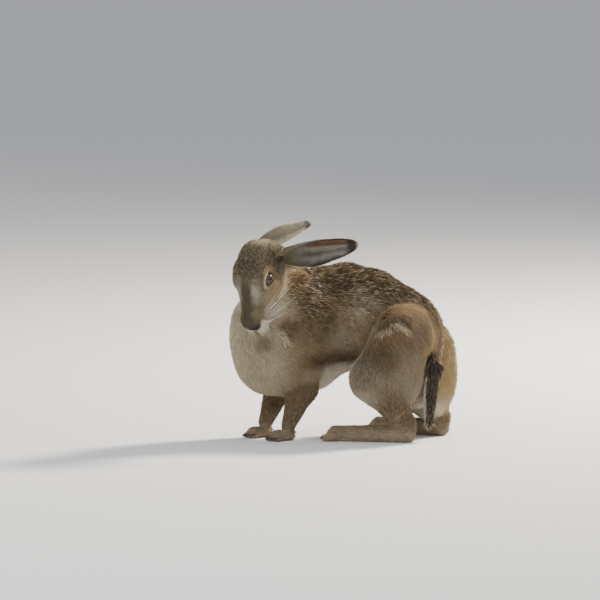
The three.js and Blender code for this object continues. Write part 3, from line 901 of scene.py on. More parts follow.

# %% [markdown]
# ## The face
# A dark stripe runs down the nose between pale sides, the crown is speckled, and the eye sits in a pale
# ring with a dark rim. Crown and cheek carry painted sunlit rims, and nostrils and lip creases carry
# painted shade. The masks use the head's own axes, a little wobbled, so the markings turn with the head.

# %% Markings of the face
CROWN = rgb(92, 82, 62)
CROWN_SUNLIT_RIM = rgb(176, 156, 118)
BROW = rgb(74, 66, 54)
TEMPLE = rgb(98, 95, 88)
NOSE_STRIPE = rgb(78, 68, 52)
CHEEK = rgb(158, 138, 106)
CHEEK_RIM_PALE_AND_SUNLIT = rgb(226, 206, 164)
JAW = rgb(112, 88, 62)
MUZZLE_SIDE = rgb(142, 128, 98)
PALE_FACE = rgb(166, 160, 142)
WHITE_LIP = rgb(214, 206, 190)
EYE_RING = rgb(206, 190, 158)
TAN = rgb(182, 154, 114)
LID_RIM = rgb(50, 38, 30)
NOSE_LEATHER_AND_SHADE = rgb(50, 42, 37)
NOSTRIL_SHADE = rgb(30, 23, 20)
LIP_CREASE_SHADE = rgb(66, 52, 42)
wx = hx + 5 * grain
wy = hy + 2.2 * grain
wz = hz + 3.5 * grain
from_middle = abs(wy)
temple_gap = np.hypot(wx + 11, (hz + 20) * 0.8)
pale_side = smooth(4, 12, from_middle) * smooth(24, 13, from_middle)
pale_side = pale_side * smooth(-8, 18, wx) * smooth(42, 20, wx) * smooth(-13, -1, wz)
brow = smooth(2, -8, wx) * smooth(-38, -22, wx) * smooth(-8, 4, wz) * smooth(20, 12, from_middle)
# the lower edge of the cheek: pale fur that also catches the sun
cheek_rim_pale_and_sunlit = smooth(-20, -26, hz) * smooth(-18, -8, hx) * smooth(30, 20, hx)
jaw = smooth(-18, -25, hz) * smooth(24, 32, hx) * smooth(52, 42, hx)
muzzle_side = smooth(32, 44, wx) * smooth(60, 48, wx) * smooth(5, 11, from_middle)
head_pelt = painted(CROWN, CHEEK, smooth(12, 24, from_middle + 0.5 * (2 - wz)), smooth(-14, 6, wx))
head_pelt = painted(head_pelt, NOSE_STRIPE, smooth(13, 5, from_middle), smooth(0, 16, wx), smooth(-9, 3, wz))
head_pelt = painted(head_pelt, PALE_FACE, pale_side, 0.9)
# painted sunlight: a pale rim on the crown, towards the poll
head_pelt = painted(head_pelt, CROWN_SUNLIT_RIM, smooth(-40, -49, wx), smooth(-34, -8, wz))
head_pelt = painted(head_pelt, BROW, brow, 0.75)
head_pelt = painted(head_pelt, TEMPLE, smooth(11, 4, temple_gap), 0.8)
# pale fur at the edge of the cheek, brightened as a painted sunlit rim
head_pelt = painted(head_pelt, CHEEK_RIM_PALE_AND_SUNLIT, cheek_rim_pale_and_sunlit)
head_pelt = painted(head_pelt, JAW, jaw, 0.8)
head_pelt = painted(head_pelt, MUZZLE_SIDE, muzzle_side, 0.5)
head_pelt = painted(head_pelt, WHITE_LIP, smooth(-4, -9, hz - 0.9 * (abs(hy) - 4)), smooth(52, 60, wx))
head_pelt = painted(head_pelt, EYE_RING, smooth(6.5, 3.6, lid_gap))
tan_arch = smooth(6, 2, abs(lid_gap - 5.5)) * smooth(-4, -12, hx) * smooth(-8, 0, hz)
head_pelt = painted(head_pelt, TAN, tan_arch, 0.65)
head_pelt = painted(head_pelt, LID_RIM, smooth(1.3, 0.7, eye_gap), smooth(5, 3, lid_gap))
# dark bare skin round the nostrils, deepened as painted shade
head_pelt = painted(head_pelt, NOSE_LEATHER_AND_SHADE, smooth(5.0, 2.4, nostrils(place)))
# painted shade inside the nostrils
head_pelt = painted(head_pelt, NOSTRIL_SHADE, smooth(1.6, 0.4, nostrils(place)))
# painted shade in the cleft and the creases of the lips
head_pelt = painted(head_pelt, LIP_CREASE_SHADE, smooth(1.2, 0.1, creases(place)))
pelt = mix(pelt, head_pelt, head_near)
print("points in the pale ring of the eyes:", (lid_gap < 3.6).sum())

# %% [markdown]
# ## The ears
# The back of an ear is brown in front and nearly white behind, where white fur is brightened by painted
# light shining through, and its tip is black. The right ear has a painted sunlit rim. Inside, a reddish
# band and thin veins show through the short hair. The masks use each ear's own rows and columns.

# %% Markings of the ears
EAR_BROWN = rgb(112, 103, 86)
EAR_PALE_AND_BACKLIT = rgb(206, 196, 172)
EAR_SUNLIT_RIM = rgb(206, 190, 158)
EAR_ROOT = rgb(104, 94, 78)
EAR_INSIDE = rgb(112, 107, 99)
EAR_RED = rgb(104, 74, 60)
EAR_UPPER_EDGE = rgb(58, 52, 44)
EAR_LOWER_EDGE = rgb(60, 54, 48)
EAR_SHADE = rgb(78, 70, 66)
EAR_ROOT_INSIDE = rgb(110, 104, 82)
EAR_TIP = rgb(42, 34, 30)
EAR_TIP_EDGE = rgb(150, 132, 104)
is_left = ear_of == 1
ear_rear = ear_q * np.where(is_left, -1, 1)
# white fur on the rear of the ear's back, brightened as painted light shining through the ear
outside = mix(EAR_BROWN, EAR_PALE_AND_BACKLIT, smooth(-0.45, -0.1, ear_rear + 0.15 * speck))
# painted sunlight: a pale rim along both edges of the right ear
outside = painted(outside, EAR_SUNLIT_RIM, smooth(0.88, 0.98, abs(ear_q)), ear_of == 2)
outside = painted(outside, EAR_ROOT, smooth(0.3, 0.12, ear_s))
red_band = smooth(-0.05, 0.2, ear_q) * smooth(0.72, 0.5, ear_q) * smooth(0.28, 0.5, ear_s)
shade_gap = np.hypot((ear_s - 0.47) * 1.3, ear_q + 0.25)
inside_ear = mix(EAR_INSIDE, EAR_RED, red_band)
inside_ear = painted(inside_ear, EAR_UPPER_EDGE, smooth(0.5, 0.75, ear_q), is_left)
inside_ear = painted(inside_ear, EAR_LOWER_EDGE, smooth(-0.72, -0.9, ear_q), smooth(0.3, 0.5, ear_s), is_left)
inside_ear = painted(inside_ear, EAR_SHADE, smooth(0.3, 0.06, shade_gap), 0.55)
inside_ear = painted(inside_ear, EAR_ROOT_INSIDE, smooth(0.4, 0.12, ear_s))
veins = np.sin(11 * ear_q + 2.5 * ear_s + 2 * grain) * smooth(0.15, 0.4, ear_s)
inside_ear = inside_ear * (1 + 0.34 * veins)[:, None]
ear_pelt = mix(inside_ear, outside, smooth(-0.5, 0.5, ear_out))
ear_pelt = painted(ear_pelt, EAR_TIP, smooth(0.83, 0.9, ear_s + 0.03 * speck))
ear_pelt = painted(ear_pelt, EAR_TIP_EDGE, smooth(0.97, 0.99, ear_s))
pelt = mix(pelt, ear_pelt, ear_mask)
print("points of the left ear:", (is_left & on_ear).sum())

# %% [markdown]
# ## Grizzle
# Each hair of the back has bands of black and buff, so the back looks speckled, while belly and muzzle
# are nearly plain. One number on the skin says how strong this contrast is, and the fur material reads it
# too.

# %% Contrast of the coat
contrast = 0.25 + 0.75 * side_height
contrast = mix(contrast, 0.25, np.maximum(*thigh_near))
contrast = mix(contrast, 0.3, breast_near)
contrast = mix(contrast, 0.1, belly)
contrast = mix(contrast, 0.75, head_near)
contrast = mix(contrast, 0.12, head_near * smooth(0, 24, hx))
contrast = mix(contrast, 0.6, low_legs)
contrast = np.where(on_ear, 0.15, contrast)
pelt *= (1 + contrast * (0.2 * blotch + 0.3 * grain + 0.45 * speck))[:, None]
print("contrast from", contrast.min().round(2), "to", contrast.max().round(2))

# %% [markdown]
# ## Parts of the coat
# A mesh with too many faces is slow to open, so the fur is cut into parts by where it grows. A part is a
# number on each face of the skin, so that no tuft is in two parts.

# %% Cut the skin into parts
PARTS = ("face", "ears", "neck", "breast", "back_front", "back_rear", "haunch_left", "haunch_right", "feet")
part = np.full(count, PARTS.index("back_rear"))
part[x < 12] = PARTS.index("back_front")
part[(x < -62) & (z < 205)] = PARTS.index("breast")
part[(thigh_near[0] > 0.5)] = PARTS.index("haunch_left")
part[(thigh_near[1] > 0.5)] = PARTS.index("haunch_right")
part[(z < 44) | (on_tail > 0.5)] = PARTS.index("feet")
part[(neck(place) < 0.5) & (z > 170) & (x < -40)] = PARTS.index("neck")
part[head_near > 0.5] = PARTS.index("face")
part[on_ear] = PARTS.index("ears")

mesh = skin.data
face_count = len(mesh.polygons)
face_size = np.empty(face_count, np.int32)
mesh.polygons.foreach_get("loop_total", face_size)
corner_point = np.empty(len(mesh.loops), np.int32)
mesh.loops.foreach_get("vertex_index", corner_point)
first_point = corner_point[np.concatenate([[0], np.cumsum(face_size)[:-1]])]
face_part = part[first_point]
for number, name in enumerate(PARTS):
    print("coat part", name, (face_part == number).sum(), "faces of skin")

# %% [markdown]
# ## An unwrap of the skin
# Every tuft needs a small patch of its own on a flat map, near those of its neighbours. Each part of the
# coat gets one square with six charts, one for each way that the skin may face. Ears, feet and tail lie
# one behind another, so each of them gets six charts of its own.

# %% Unwrap the skin
flat = np.empty(face_count * 3, np.float32)
mesh.polygons.foreach_get("normal", flat)
face_normal = flat.reshape(-1, 3)
limb_of = np.where(part == PARTS.index("ears"), ear_of == 2, 0)
on_limb = np.stack([*hind_low, *fore_low, on_tail])
limb_of = np.where(part == PARTS.index("feet"), on_limb.argmax(0), limb_of)
steepest = np.argmax(abs(face_normal), 1)
chart = 6 * limb_of[first_point] + 2 * steepest + (face_normal[np.arange(face_count), steepest] > 0)
corner_face = np.repeat(np.arange(face_count), face_size)
root_uv = np.zeros((len(corner_point), 3))
CHART_EDGE = 0.02
CHART_SIZE = 0.96
for number in range(len(PARTS)):
    mine = face_part[corner_face] == number
    spot = place[corner_point[mine]]
    spot = (spot - spot.min(0)) / np.ptp(spot, axis=0)
    across = steepest[corner_face[mine]]
    column, row = chart[corner_face[mine]] % 6, chart[corner_face[mine]] // 6
    rows = row.max() + 1
    u = np.where(across == 0, spot[:, 1], spot[:, 0])
    v = np.where(across == 2, spot[:, 1], spot[:, 2])
    root_uv[mine, 0] = (column % 3 + CHART_EDGE + CHART_SIZE * u) / 3
    root_uv[mine, 1] = (2 * row + column // 3 + CHART_EDGE + CHART_SIZE * v) / (2 * rows)
print("maps run from", root_uv.min().round(3), "to", root_uv.max().round(3))

# %% [markdown]
# ## What the skin tells the coat
# Geometry Nodes and materials read named attributes. Storing them on the skin keeps one source for both,
# so the coat and the skin beneath it carry the same markings. No tufts grow on lid rims, nostrils, lips
# and soles.

# %% Store it on the skin
def store(mesh, name, kind, values, key="value", domain="POINT"):
    attribute = mesh.attributes.new(name, kind, domain)
    attribute.data.foreach_set(key, np.ascontiguousarray(values, np.float32).ravel())


store(skin.data, "lie", "FLOAT_VECTOR", lie, "vector")
store(skin.data, "hair_length", "FLOAT", length * MM)
store(skin.data, "hair_width", "FLOAT", width * MM)
store(skin.data, "hair_depth", "FLOAT", depth_of * MM)
store(skin.data, "contrast", "FLOAT", contrast)
store(skin.data, "pelt", "FLOAT_COLOR", np.c_[np.clip(pelt, 0.002, 1), np.ones(count)], "color")
store(skin.data, "root_uv", "FLOAT_VECTOR", root_uv, "vector", "CORNER")
bald = (lid_gap < LID + 1.6) & (eye_gap < 2.3) & (head_near > 0.3)
bald |= nostrils(place) < 1.5
bald |= (creases(place) < 0.4) & (head_near > 0.3)
bald |= (z < 1.2)
store(skin.data, "growth", "FLOAT", np.where(bald, 0.0, 1.0))
numbers = skin.data.attributes.new("part", "INT", "FACE")
numbers.data.foreach_set("value", face_part.astype(np.int32))
print("bald points:", bald.sum(), "of", count)

# %% [markdown]
# ## Nodes written as sums
# A material or a geometry tree is easier to read as an expression than as a list of links. The small
# class below wraps a socket, so that a * b + c adds the Math nodes for it. Any other node comes from one
# method.

# %% Node helpers
class Net:
    """A node tree that adds any node by type, settings and inputs."""

    def __init__(self, tree):
        self.tree = tree

    def node(self, kind, settings=None, inputs=None):
        made = self.tree.nodes.new(kind)
        for key, value in (settings or {}).items():
            setattr(made, key, value)
        for key, value in (inputs or {}).items():
            self.feed(made.inputs[key], value)
        return made

    def feed(self, socket, value):
        if isinstance(value, Wire):
            self.tree.links.new(value.socket, socket)
        elif isinstance(value, bpy.types.NodeSocket):
            self.tree.links.new(value, socket)
        else:
            socket.default_value = value

    def wire(self, kind, settings=None, inputs=None, output=0):
        return Wire(self, self.node(kind, settings, inputs).outputs[output])


class Wire:
    """A number that flows through a tree."""

    def __init__(self, net, socket):
        self.net = net
        self.socket = socket

    def math(self, operation, *others):
        made = self.net.node("ShaderNodeMath", {"operation": operation})
        for socket, value in zip(made.inputs, (self, *others)):
            self.net.feed(socket, value)
        return Wire(self.net, made.outputs[0])

    def __add__(self, other):
        return self.math("ADD", other)

    __radd__ = __add__

    def __mul__(self, other):
        return self.math("MULTIPLY", other)

    __rmul__ = __mul__

    def __sub__(self, other):
        return self.math("SUBTRACT", other)

    def __rsub__(self, other):
        return (self * -1).math("ADD", other)

    def step(self, low, high):
        """0 below low, 1 above high, and smooth between."""
        made = self.net.node("ShaderNodeMapRange", {"interpolation_type": "SMOOTHSTEP"},
                             {"Value": self, "From Min": low, "From Max": high})
        return Wire(self.net, made.outputs[0])


def blend(net, factor, a, b, way="MIX"):
    made = net.node("ShaderNodeMix", {"data_type": "RGBA", "blend_type": way})
    for socket, value in zip((made.inputs[0], made.inputs[6], made.inputs[7]), (factor, a, b)):
        net.feed(socket, value)
    return Wire(net, made.outputs[2])


def new_material(name):
    material = bpy.data.materials.new(name)
    material.use_nodes = True
    net = Net(material.node_tree)
    shader = material.node_tree.nodes["Principled BSDF"]
    return material, net, shader


print("operators on a wire: + - * and their reflected forms")

# %% [markdown]
# ## Fur
# The hairs of a hare have a dark root and, on the back, bands of buff and a black tip. Each tuft
# therefore carries two numbers: how far along it a point is, and a random tone of its own. A picture of
# hair would repeat, and hair particles can't be exported.

# %% Fur material
def attribute_wire(net, name, output="Fac"):
    return net.wire("ShaderNodeAttribute", {"attribute_name": name}, output=output)


ROOT_SHADE = (0.10, 0.085, 0.07, 1)
BLACK_TIP = (0.030, 0.022, 0.015, 1)
BUFF_BAND = (0.60, 0.47, 0.31, 1)
fur, net, shader = new_material("fur")
tone = attribute_wire(net, "tone")
along = attribute_wire(net, "along")
mottle = attribute_wire(net, "contrast")
root_colour = attribute_wire(net, "pelt", "Color")
tipped = tone.step(0.6, 0.75) * along.step(0.2, 0.7) * mottle
banded = tone.step(0.32, 0.12) * along.step(0.2, 0.8) * mottle
colour = blend(net, along.step(0.5, 0.0) * 0.35, root_colour, ROOT_SHADE)
colour = blend(net, tipped * 0.8, colour, BLACK_TIP)
colour = blend(net, banded * 0.75, colour, BUFF_BAND)
net.feed(shader.inputs["Base Color"], colour)
shader.inputs["Roughness"].default_value = 0.72
shader.inputs["Specular IOR Level"].default_value = 0.25
print("fur:", len(net.tree.nodes), "nodes")

# %% [markdown]
# ## The skin beneath
# Where the tufts part, the skin shows. It has the colours of the coat, streaked dark as the depth of fur
# is, and a fine bump. Bare pink would shine through the gaps.

# %% Hide material
UNDERCOAT = (0.05, 0.04, 0.03, 1)
hide, net, shader = new_material("hide")
object_place = net.node("ShaderNodeTexCoord").outputs["Object"]
strands = net.wire("ShaderNodeTexNoise", None, {"Vector": object_place, "Scale": 900.0, "Detail": 3.0})
streaks = strands.step(0.4, 0.65) * 0.5
net.feed(shader.inputs["Base Color"], blend(net, streaks, attribute_wire(net, "pelt", "Color"), UNDERCOAT))
shader.inputs["Roughness"].default_value = 0.8
bump = net.node("ShaderNodeBump", None, {"Height": strands, "Strength": 0.5, "Distance": 0.0006})
net.feed(shader.inputs["Normal"], bump.outputs[0])
skin.data.materials.clear()
skin.data.materials.append(hide)
for polygon in skin.data.polygons:
    polygon.use_smooth = True
print("hide:", len(net.tree.nodes), "nodes")

# %% [markdown]
# ## One tuft
# Fur is thousands of locks, each a few hairs stuck together. One lock is a thin three-sided blade that
# rises from its root, bends over and ends in a point. It has only ten faces, because it is repeated more
# than a hundred thousand times.

# %% The tuft
def tuft_object(name, rings):
    """rings: (along, height, half width) from the root; the last is the tip."""
    points = []
    along_values = []
    for at, height, half in rings[:-1]:
        points += [(at, -half, height - 0.05), (at, half, height - 0.05), (at, 0, height + 0.12)]
        along_values += [at] * 3
    at, height, _ = rings[-1]
    points.append((at, 0, height))
    along_values.append(at)
    faces = [(0, 1, 2)]
    for ring in range(len(rings) - 2):
        a = 3 * ring
        for i in range(3):
            j = (i + 1) % 3
            faces.append((a + i, a + 3 + i, a + 3 + j))
            faces.append((a + i, a + 3 + j, a + j))
    a = 3 * (len(rings) - 2)
    tip = len(points) - 1
    faces += [(a + i, tip, a + (i + 1) % 3) for i in range(3)]
    tuft_mesh = bpy.data.meshes.new(name)
    tuft_mesh.from_pydata(points, [], [f[::-1] for f in faces])
    store(tuft_mesh, "along", "FLOAT", along_values)
    store(tuft_mesh, "across", "FLOAT", [p[1] + 0.5 for p in points])
    piece = object_of(name, tuft_mesh)
    piece.hide_render = True
    return piece


tuft = tuft_object("tuft", [(0.0, -0.15, 0.3), (0.45, 0.72, 0.5), (1.0, 1.0, 0.0)])
print("one tuft:", len(tuft.data.vertices), "points,", len(tuft.data.polygons), "faces")

# %% [markdown]
# ## A tree with named inputs
# Geometry Nodes grow the coat, because they can scatter, turn and scale a hundred thousand tufts in a
# second. One tree serves all parts: the part, the density and the ruffle are its inputs.

# %% Inputs of the coat tree
def socket_of(tree, name, kind, value=None, out=False):
    way = "OUTPUT" if out else "INPUT"
    made = tree.interface.new_socket(name, in_out=way, socket_type="NodeSocket" + kind)
    if value is not None:
        made.default_value = value
    return made.identifier


coat_tree = bpy.data.node_groups.new("coat", "GeometryNodeTree")
inputs = {
    "skin": socket_of(coat_tree, "Skin", "Geometry"),
    "part": socket_of(coat_tree, "Part", "Int", 0),
    "density": socket_of(coat_tree, "Tufts per square metre", "Float", 1000.0),
    "seed": socket_of(coat_tree, "Seed", "Int", 1),
    "tuft": socket_of(coat_tree, "Tuft", "Object"),
    "ruffle": socket_of(coat_tree, "Ruffle in radians", "Float", 0.3),
    "material": socket_of(coat_tree, "Fur", "Material"),
}
socket_of(coat_tree, "Coat", "Geometry", out=True)
net = Net(coat_tree)
given = net.node("NodeGroupInput")
result = net.node("NodeGroupOutput")
print("inputs:", ", ".join(inputs))

# %% [markdown]
# ## Scatter the roots
# Roots are scattered at random over the faces of one part. An even grid of roots would show as rows.

# %% Roots
def named(name, kind="FLOAT"):
    made = net.node("GeometryNodeInputNamedAttribute", {"data_type": kind}, {"Name": name})
    return Wire(net, made.outputs["Attribute"])


def random_between(low, high, extra):
    made = net.node("FunctionNodeRandomValue", {"data_type": "FLOAT"})
    made.inputs[2].default_value = low
    made.inputs[3].default_value = high
    made.inputs["Seed"].default_value = extra
    return Wire(net, made.outputs[1])


same_part = net.node("FunctionNodeCompare", {"data_type": "INT", "operation": "EQUAL"})
net.feed(same_part.inputs[2], named("part", "INT"))
net.feed(same_part.inputs[3], given.outputs["Part"])
scatter = net.node("GeometryNodeDistributePointsOnFaces", {"distribute_method": "RANDOM"}, {
    "Mesh": given.outputs["Skin"],
    "Selection": same_part.outputs[0],
    "Density": named("growth") * given.outputs["Tufts per square metre"],
    "Seed": given.outputs["Seed"],
})
print("nodes so far:", len(coat_tree.nodes))

# %% [markdown]
# ## Turn and size each tuft
# A tuft stands on its root with its length along the lie of the hair. A slow wave turns neighbours
# together, as wind and grooming do, and a small random turn keeps them from looking combed by a machine.

# %% Turn and size
axes_turn = net.node("FunctionNodeAxesToRotation", {"primary_axis": "Z", "secondary_axis": "X"}, {
    "Primary Axis": scatter.outputs["Normal"],
    "Secondary Axis": named("lie", "FLOAT_VECTOR"),
})
wave = net.wire("ShaderNodeTexNoise", {"noise_dimensions": "3D"}, {"Scale": 75.0, "Detail": 1.0})
yaw = (wave - 0.5) * 5.0 + random_between(-1.0, 1.0, 3)
tilt = net.node("ShaderNodeCombineXYZ", None, {
    "X": random_between(-0.5, 0.5, 4),
    "Y": random_between(-0.16, 0.10, 5),
    "Z": yaw * given.outputs["Ruffle in radians"],
})
turn = net.node("FunctionNodeEulerToRotation", None, {"Euler": tilt.outputs[0]})
turned = net.node("FunctionNodeRotateRotation", {"rotation_space": "LOCAL"}, {
    "Rotation": axes_turn.outputs[0],
    "Rotate By": turn.outputs[0],
})
size = net.node("ShaderNodeCombineXYZ", None, {
    "X": named("hair_length") * random_between(0.7, 1.2, 6),
    "Y": named("hair_width") * random_between(0.7, 1.3, 7),
    "Z": named("hair_depth") * random_between(0.75, 1.15, 8),
})
lock = net.node("GeometryNodeObjectInfo", None, {"Object": given.outputs["Tuft"]})
planted = net.node("GeometryNodeInstanceOnPoints", None, {
    "Points": scatter.outputs["Points"],
    "Instance": lock.outputs["Geometry"],
    "Rotation": turned.outputs[0],
    "Scale": size.outputs[0],
})
toned = net.node("GeometryNodeStoreNamedAttribute", {"data_type": "FLOAT", "domain": "INSTANCE"}, {
    "Geometry": planted.outputs[0],
    "Name": "tone",
    "Value": random_between(0.0, 1.0, 9),
})
print("nodes so far:", len(coat_tree.nodes))

# %% [markdown]
# ## Make the tufts real
# The export drops instances, so they are made a plain mesh. No tip may go through the floor, and each
# tuft takes a small patch of the map, round the place of its root.

# %% Real tufts and their patches
LOWEST_TIP = 0.0001
PATCH = 0.003
real = net.node("GeometryNodeRealizeInstances", None, {"Geometry": toned.outputs[0]})
at = net.node("ShaderNodeSeparateXYZ", None, {"Vector": net.node("GeometryNodeInputPosition").outputs[0]})
above = net.node("ShaderNodeCombineXYZ", None, {
    "X": at.outputs[0],
    "Y": at.outputs[1],
    "Z": Wire(net, at.outputs[2]).math("MAXIMUM", LOWEST_TIP),
})
kept_up = net.node("GeometryNodeSetPosition", None, {
    "Geometry": real.outputs[0],
    "Position": above.outputs[0],
})
root = net.node("ShaderNodeSeparateXYZ", None, {"Vector": named("root_uv", "FLOAT_VECTOR")})
patch = net.node("ShaderNodeCombineXYZ", None, {
    "X": Wire(net, root.outputs[0]) + (named("along") - 0.5) * PATCH,
    "Y": Wire(net, root.outputs[1]) + (named("across") - 0.5) * PATCH,
})
mapped = net.node("GeometryNodeStoreNamedAttribute", {"data_type": "FLOAT2", "domain": "CORNER"}, {
    "Geometry": kept_up.outputs[0],
    "Name": "OFBake",
    "Value": patch.outputs[0],
})
dressed = net.node("GeometryNodeSetMaterial", None, {
    "Geometry": mapped.outputs[0],
    "Material": given.outputs["Fur"],
})
coat_tree.links.new(dressed.outputs[0], result.inputs[0])
print("coat tree:", len(coat_tree.nodes), "nodes")

# %% [markdown]
# ## Grow each part
# The face has the densest coat, since its tufts are the smallest. Breast and back need fewer for the same
# cover. The skin beneath has the same colours, so the number of tufts can stay modest.

# %% Grow each part
THIN = 1.0
AREA_PER_TUFT = {
    "face": 1.05,
    "ears": 1.5,
    "neck": 1.5,
    "breast": 1.95,
    "back_front": 1.8,
    "back_rear": 1.8,
    "haunch_left": 1.7,
    "haunch_right": 1.8,
    "feet": 1.8,
}
RUFFLE = {"face": 0.16, "ears": 0.12, "neck": 0.35, "feet": 0.2}
BODY_RUFFLE = 0.32
FIRST_SEED = 11
coats = []
for number, name in enumerate(PARTS):
    grower = object_of("coat_" + name, skin.data.copy())
    growth = grower.modifiers.new("coat", "NODES")
    growth.node_group = coat_tree
    growth[inputs["part"]] = number
    growth[inputs["density"]] = THIN * 1e6 / AREA_PER_TUFT[name]
    growth[inputs["seed"]] = FIRST_SEED + number
    growth[inputs["tuft"]] = tuft
    growth[inputs["ruffle"]] = RUFFLE.get(name, BODY_RUFFLE)
    growth[inputs["material"]] = fur
    bpy.context.view_layer.update()
    grown = bpy.data.meshes.new_from_object(grower.evaluated_get(bpy.context.evaluated_depsgraph_get()))
    grower.modifiers.clear()
    grower.data = grown
    coats.append(grower)
    tufts = len(grown.vertices) // len(tuft.data.vertices)
    print(grower.name, tufts, "tufts,", len(grown.polygons), "faces")
bpy.data.objects.remove(tuft)

# %% [markdown]
# ## Eyes
# A hare's eye is a big dark amber ball with a wide black pupil and a wet shine. One mesh holds both eyes:
# two balls, each with a slight bulge for the cornea. How far each point is from the pupil is kept as an
# attribute, so that iris and pupil need no picture.

# %% Eyeballs
CORNEA = 0.5


def ball_mesh(eye_frame, radius, columns=40, rows=28):
    ring = np.arange(columns) * 2 * math.pi / columns
    rings = []
    for i in range(1, rows):
        angle = math.pi * i / rows
        r = radius + CORNEA * math.exp(-((angle / 0.55) ** 2))
        ahead = np.full(columns, r * math.cos(angle))
        across = r * math.sin(angle)
        rings.append(np.stack([ahead, across * np.cos(ring), across * np.sin(ring)], -1))
    points_ = np.concatenate([[[radius + CORNEA, 0, 0]], *rings, [[-radius, 0, 0]]])
    last = 1 + (rows - 2) * columns
    faces = []
    for j in range(columns):
        k = (j + 1) % columns
        faces.append((0, 1 + j, 1 + k))
        faces.append((last + k, last + j, len(points_) - 1))
        for i in range(rows - 2):
            a = 1 + i * columns
            faces.append((a + j, a + columns + j, a + columns + k, a + k))
    return eye_frame[0] + points_ @ eye_frame[1].T, faces, np.arccos(np.clip(unit(points_)[:, 0], -1, 1))


eye_points, eye_faces, eye_angle = [], [], []
for eye_frame in EYES:
    ball_points, ball_faces, angle = ball_mesh(eye_frame, EYE_RADIUS - 0.35)
    start = sum(len(p) for p in eye_points)
    eye_points.append(ball_points)
    eye_angle.append(angle)
    eye_faces += [tuple(start + i for i in f) for f in ball_faces]
eyes = object_of("eyes", mesh_of("eyes", np.concatenate(eye_points), eye_faces))
store(eyes.data, "from_pupil", "FLOAT", np.degrees(np.concatenate(eye_angle)))
for polygon in eyes.data.polygons:
    polygon.use_smooth = True
print("eyes:", len(eyes.data.polygons), "faces")

# %% [markdown]
# ## The wet shine of an eye
# The pupil, the amber iris with its fine fibres and the dark rim are bands of one angle. A clear coat
# over them gives the sharp glint of a tear film. A glass cornea would cost time and bake badly.

# %% Eye material
DARK_AMBER = (0.035, 0.018, 0.008, 1)
BRIGHT_AMBER = (0.11, 0.058, 0.024, 1)
PUPIL = (0.004, 0.003, 0.003, 1)
EYE_EDGE = (0.025, 0.016, 0.011, 1)
wet, net, shader = new_material("eye")
angle = attribute_wire(net, "from_pupil")
object_place = net.node("ShaderNodeTexCoord").outputs["Object"]
fibres = net.wire("ShaderNodeTexNoise", None, {"Vector": object_place, "Scale": 1400.0})
iris = blend(net, fibres, DARK_AMBER, BRIGHT_AMBER)
colour = blend(net, angle.step(21, 24), PUPIL, iris)
colour = blend(net, angle.step(38, 46), colour, EYE_EDGE)
net.feed(shader.inputs["Base Color"], colour)
shader.inputs["Roughness"].default_value = 0.25
shader.inputs["Specular IOR Level"].default_value = 0.3
shader.inputs["Coat Weight"].default_value = 0.55
shader.inputs["Coat Roughness"].default_value = 0.05
eyes.data.materials.append(wet)
print("eye material:", len(net.tree.nodes), "nodes")

# %% [markdown]
# ## Tapering tubes
# Claws and whiskers are both thin tapering tubes along a bent path, so one function makes them. A
# bevelled curve would do too, but plain rings are closed at both ends at once.

# %% Tubes
def tube(path, radii, sides):
    path = np.array(path, float)
    ways = unit(np.gradient(path, axis=0))
    side = unit(np.cross(ways, vec(0.31, 0.52, 0.79)))
    other = np.cross(ways, side)
    angles = np.arange(sides) * 2 * math.pi / sides
    rings = []
    for i in range(len(path)):
        circle = np.outer(np.cos(angles), side[i]) + np.outer(np.sin(angles), other[i])
        rings.append(path[i] + radii[i] * circle)
    points_ = np.concatenate([*rings, [path[0]], [path[-1]]])
    faces = []
    start, end = len(points_) - 2, len(points_) - 1
    last = (len(path) - 1) * sides
    for j in range(sides):
        k = (j + 1) % sides
        faces.append((start, k, j))
        faces.append((end, last + j, last + k))
        for i in range(len(path) - 1):
            a = i * sides
            faces.append((a + j, a + k, a + sides + k, a + sides + j))
    return points_, faces


def bundle(name, tubes, material):
    all_points, all_faces = [], []
    start = 0
    for points_, faces in tubes:
        all_points.append(points_)
        all_faces += [tuple(start + i for i in f) for f in faces]
        start += len(points_)
    piece = object_of(name, mesh_of(name, np.concatenate(all_points), all_faces))
    piece.data.materials.append(material)
    for polygon in piece.data.polygons:
        polygon.use_smooth = True
    print(name, len(tubes), "tubes,", len(all_faces), "faces")
    return piece


# %% [markdown]
# ## Claws
# Each toe ends in a dark, slightly bent claw that just clears the floor. The fur between the toes hides
# its root, so it starts inside the toe.

# %% Claws
CLAW_RADII = (2.3, 2.2, 1.9, 1.5, 0.9, 0.25)
CLAW_CLEAR = 0.9
FEET = [
    *[(leg["hock"], leg["turn"], HINDFOOT) for leg in HINDLEGS],
    *[(leg["wrist"], leg["turn"], FOREPAW) for leg in FORELEGS],
]
horn, net, shader = new_material("claw")
shader.inputs["Base Color"].default_value = (0.035, 0.026, 0.02, 1)
shader.inputs["Roughness"].default_value = 0.4
claw_tubes = []
for ankle, foot_turn, foot_size in FEET:
    way = heading(foot_turn)
    reach = 0.8 * CLAW_LENGTH
    for _, toe_end in foot_plan(ankle, foot_turn, foot_size)[3]:
        path = [
            toe_end + way * reach * t + UP * (1.2 + 1.6 * t - 4.2 * t * t)
            for t in np.linspace(0, 1, len(CLAW_RADII))
        ]
        path = [np.array([*p[:2], max(p[2], CLAW_CLEAR)]) for p in path]
        claw_tubes.append(tube(path, CLAW_RADII, 8))
claws = bundle("claws", claw_tubes, horn)

# %% [markdown]
# ## Whiskers
# Pale whiskers stand in rows on the pads and sweep back past the cheek. Those of the far side lie closer
# to the face. The random numbers have a fixed seed, so every run gives the same whiskers.

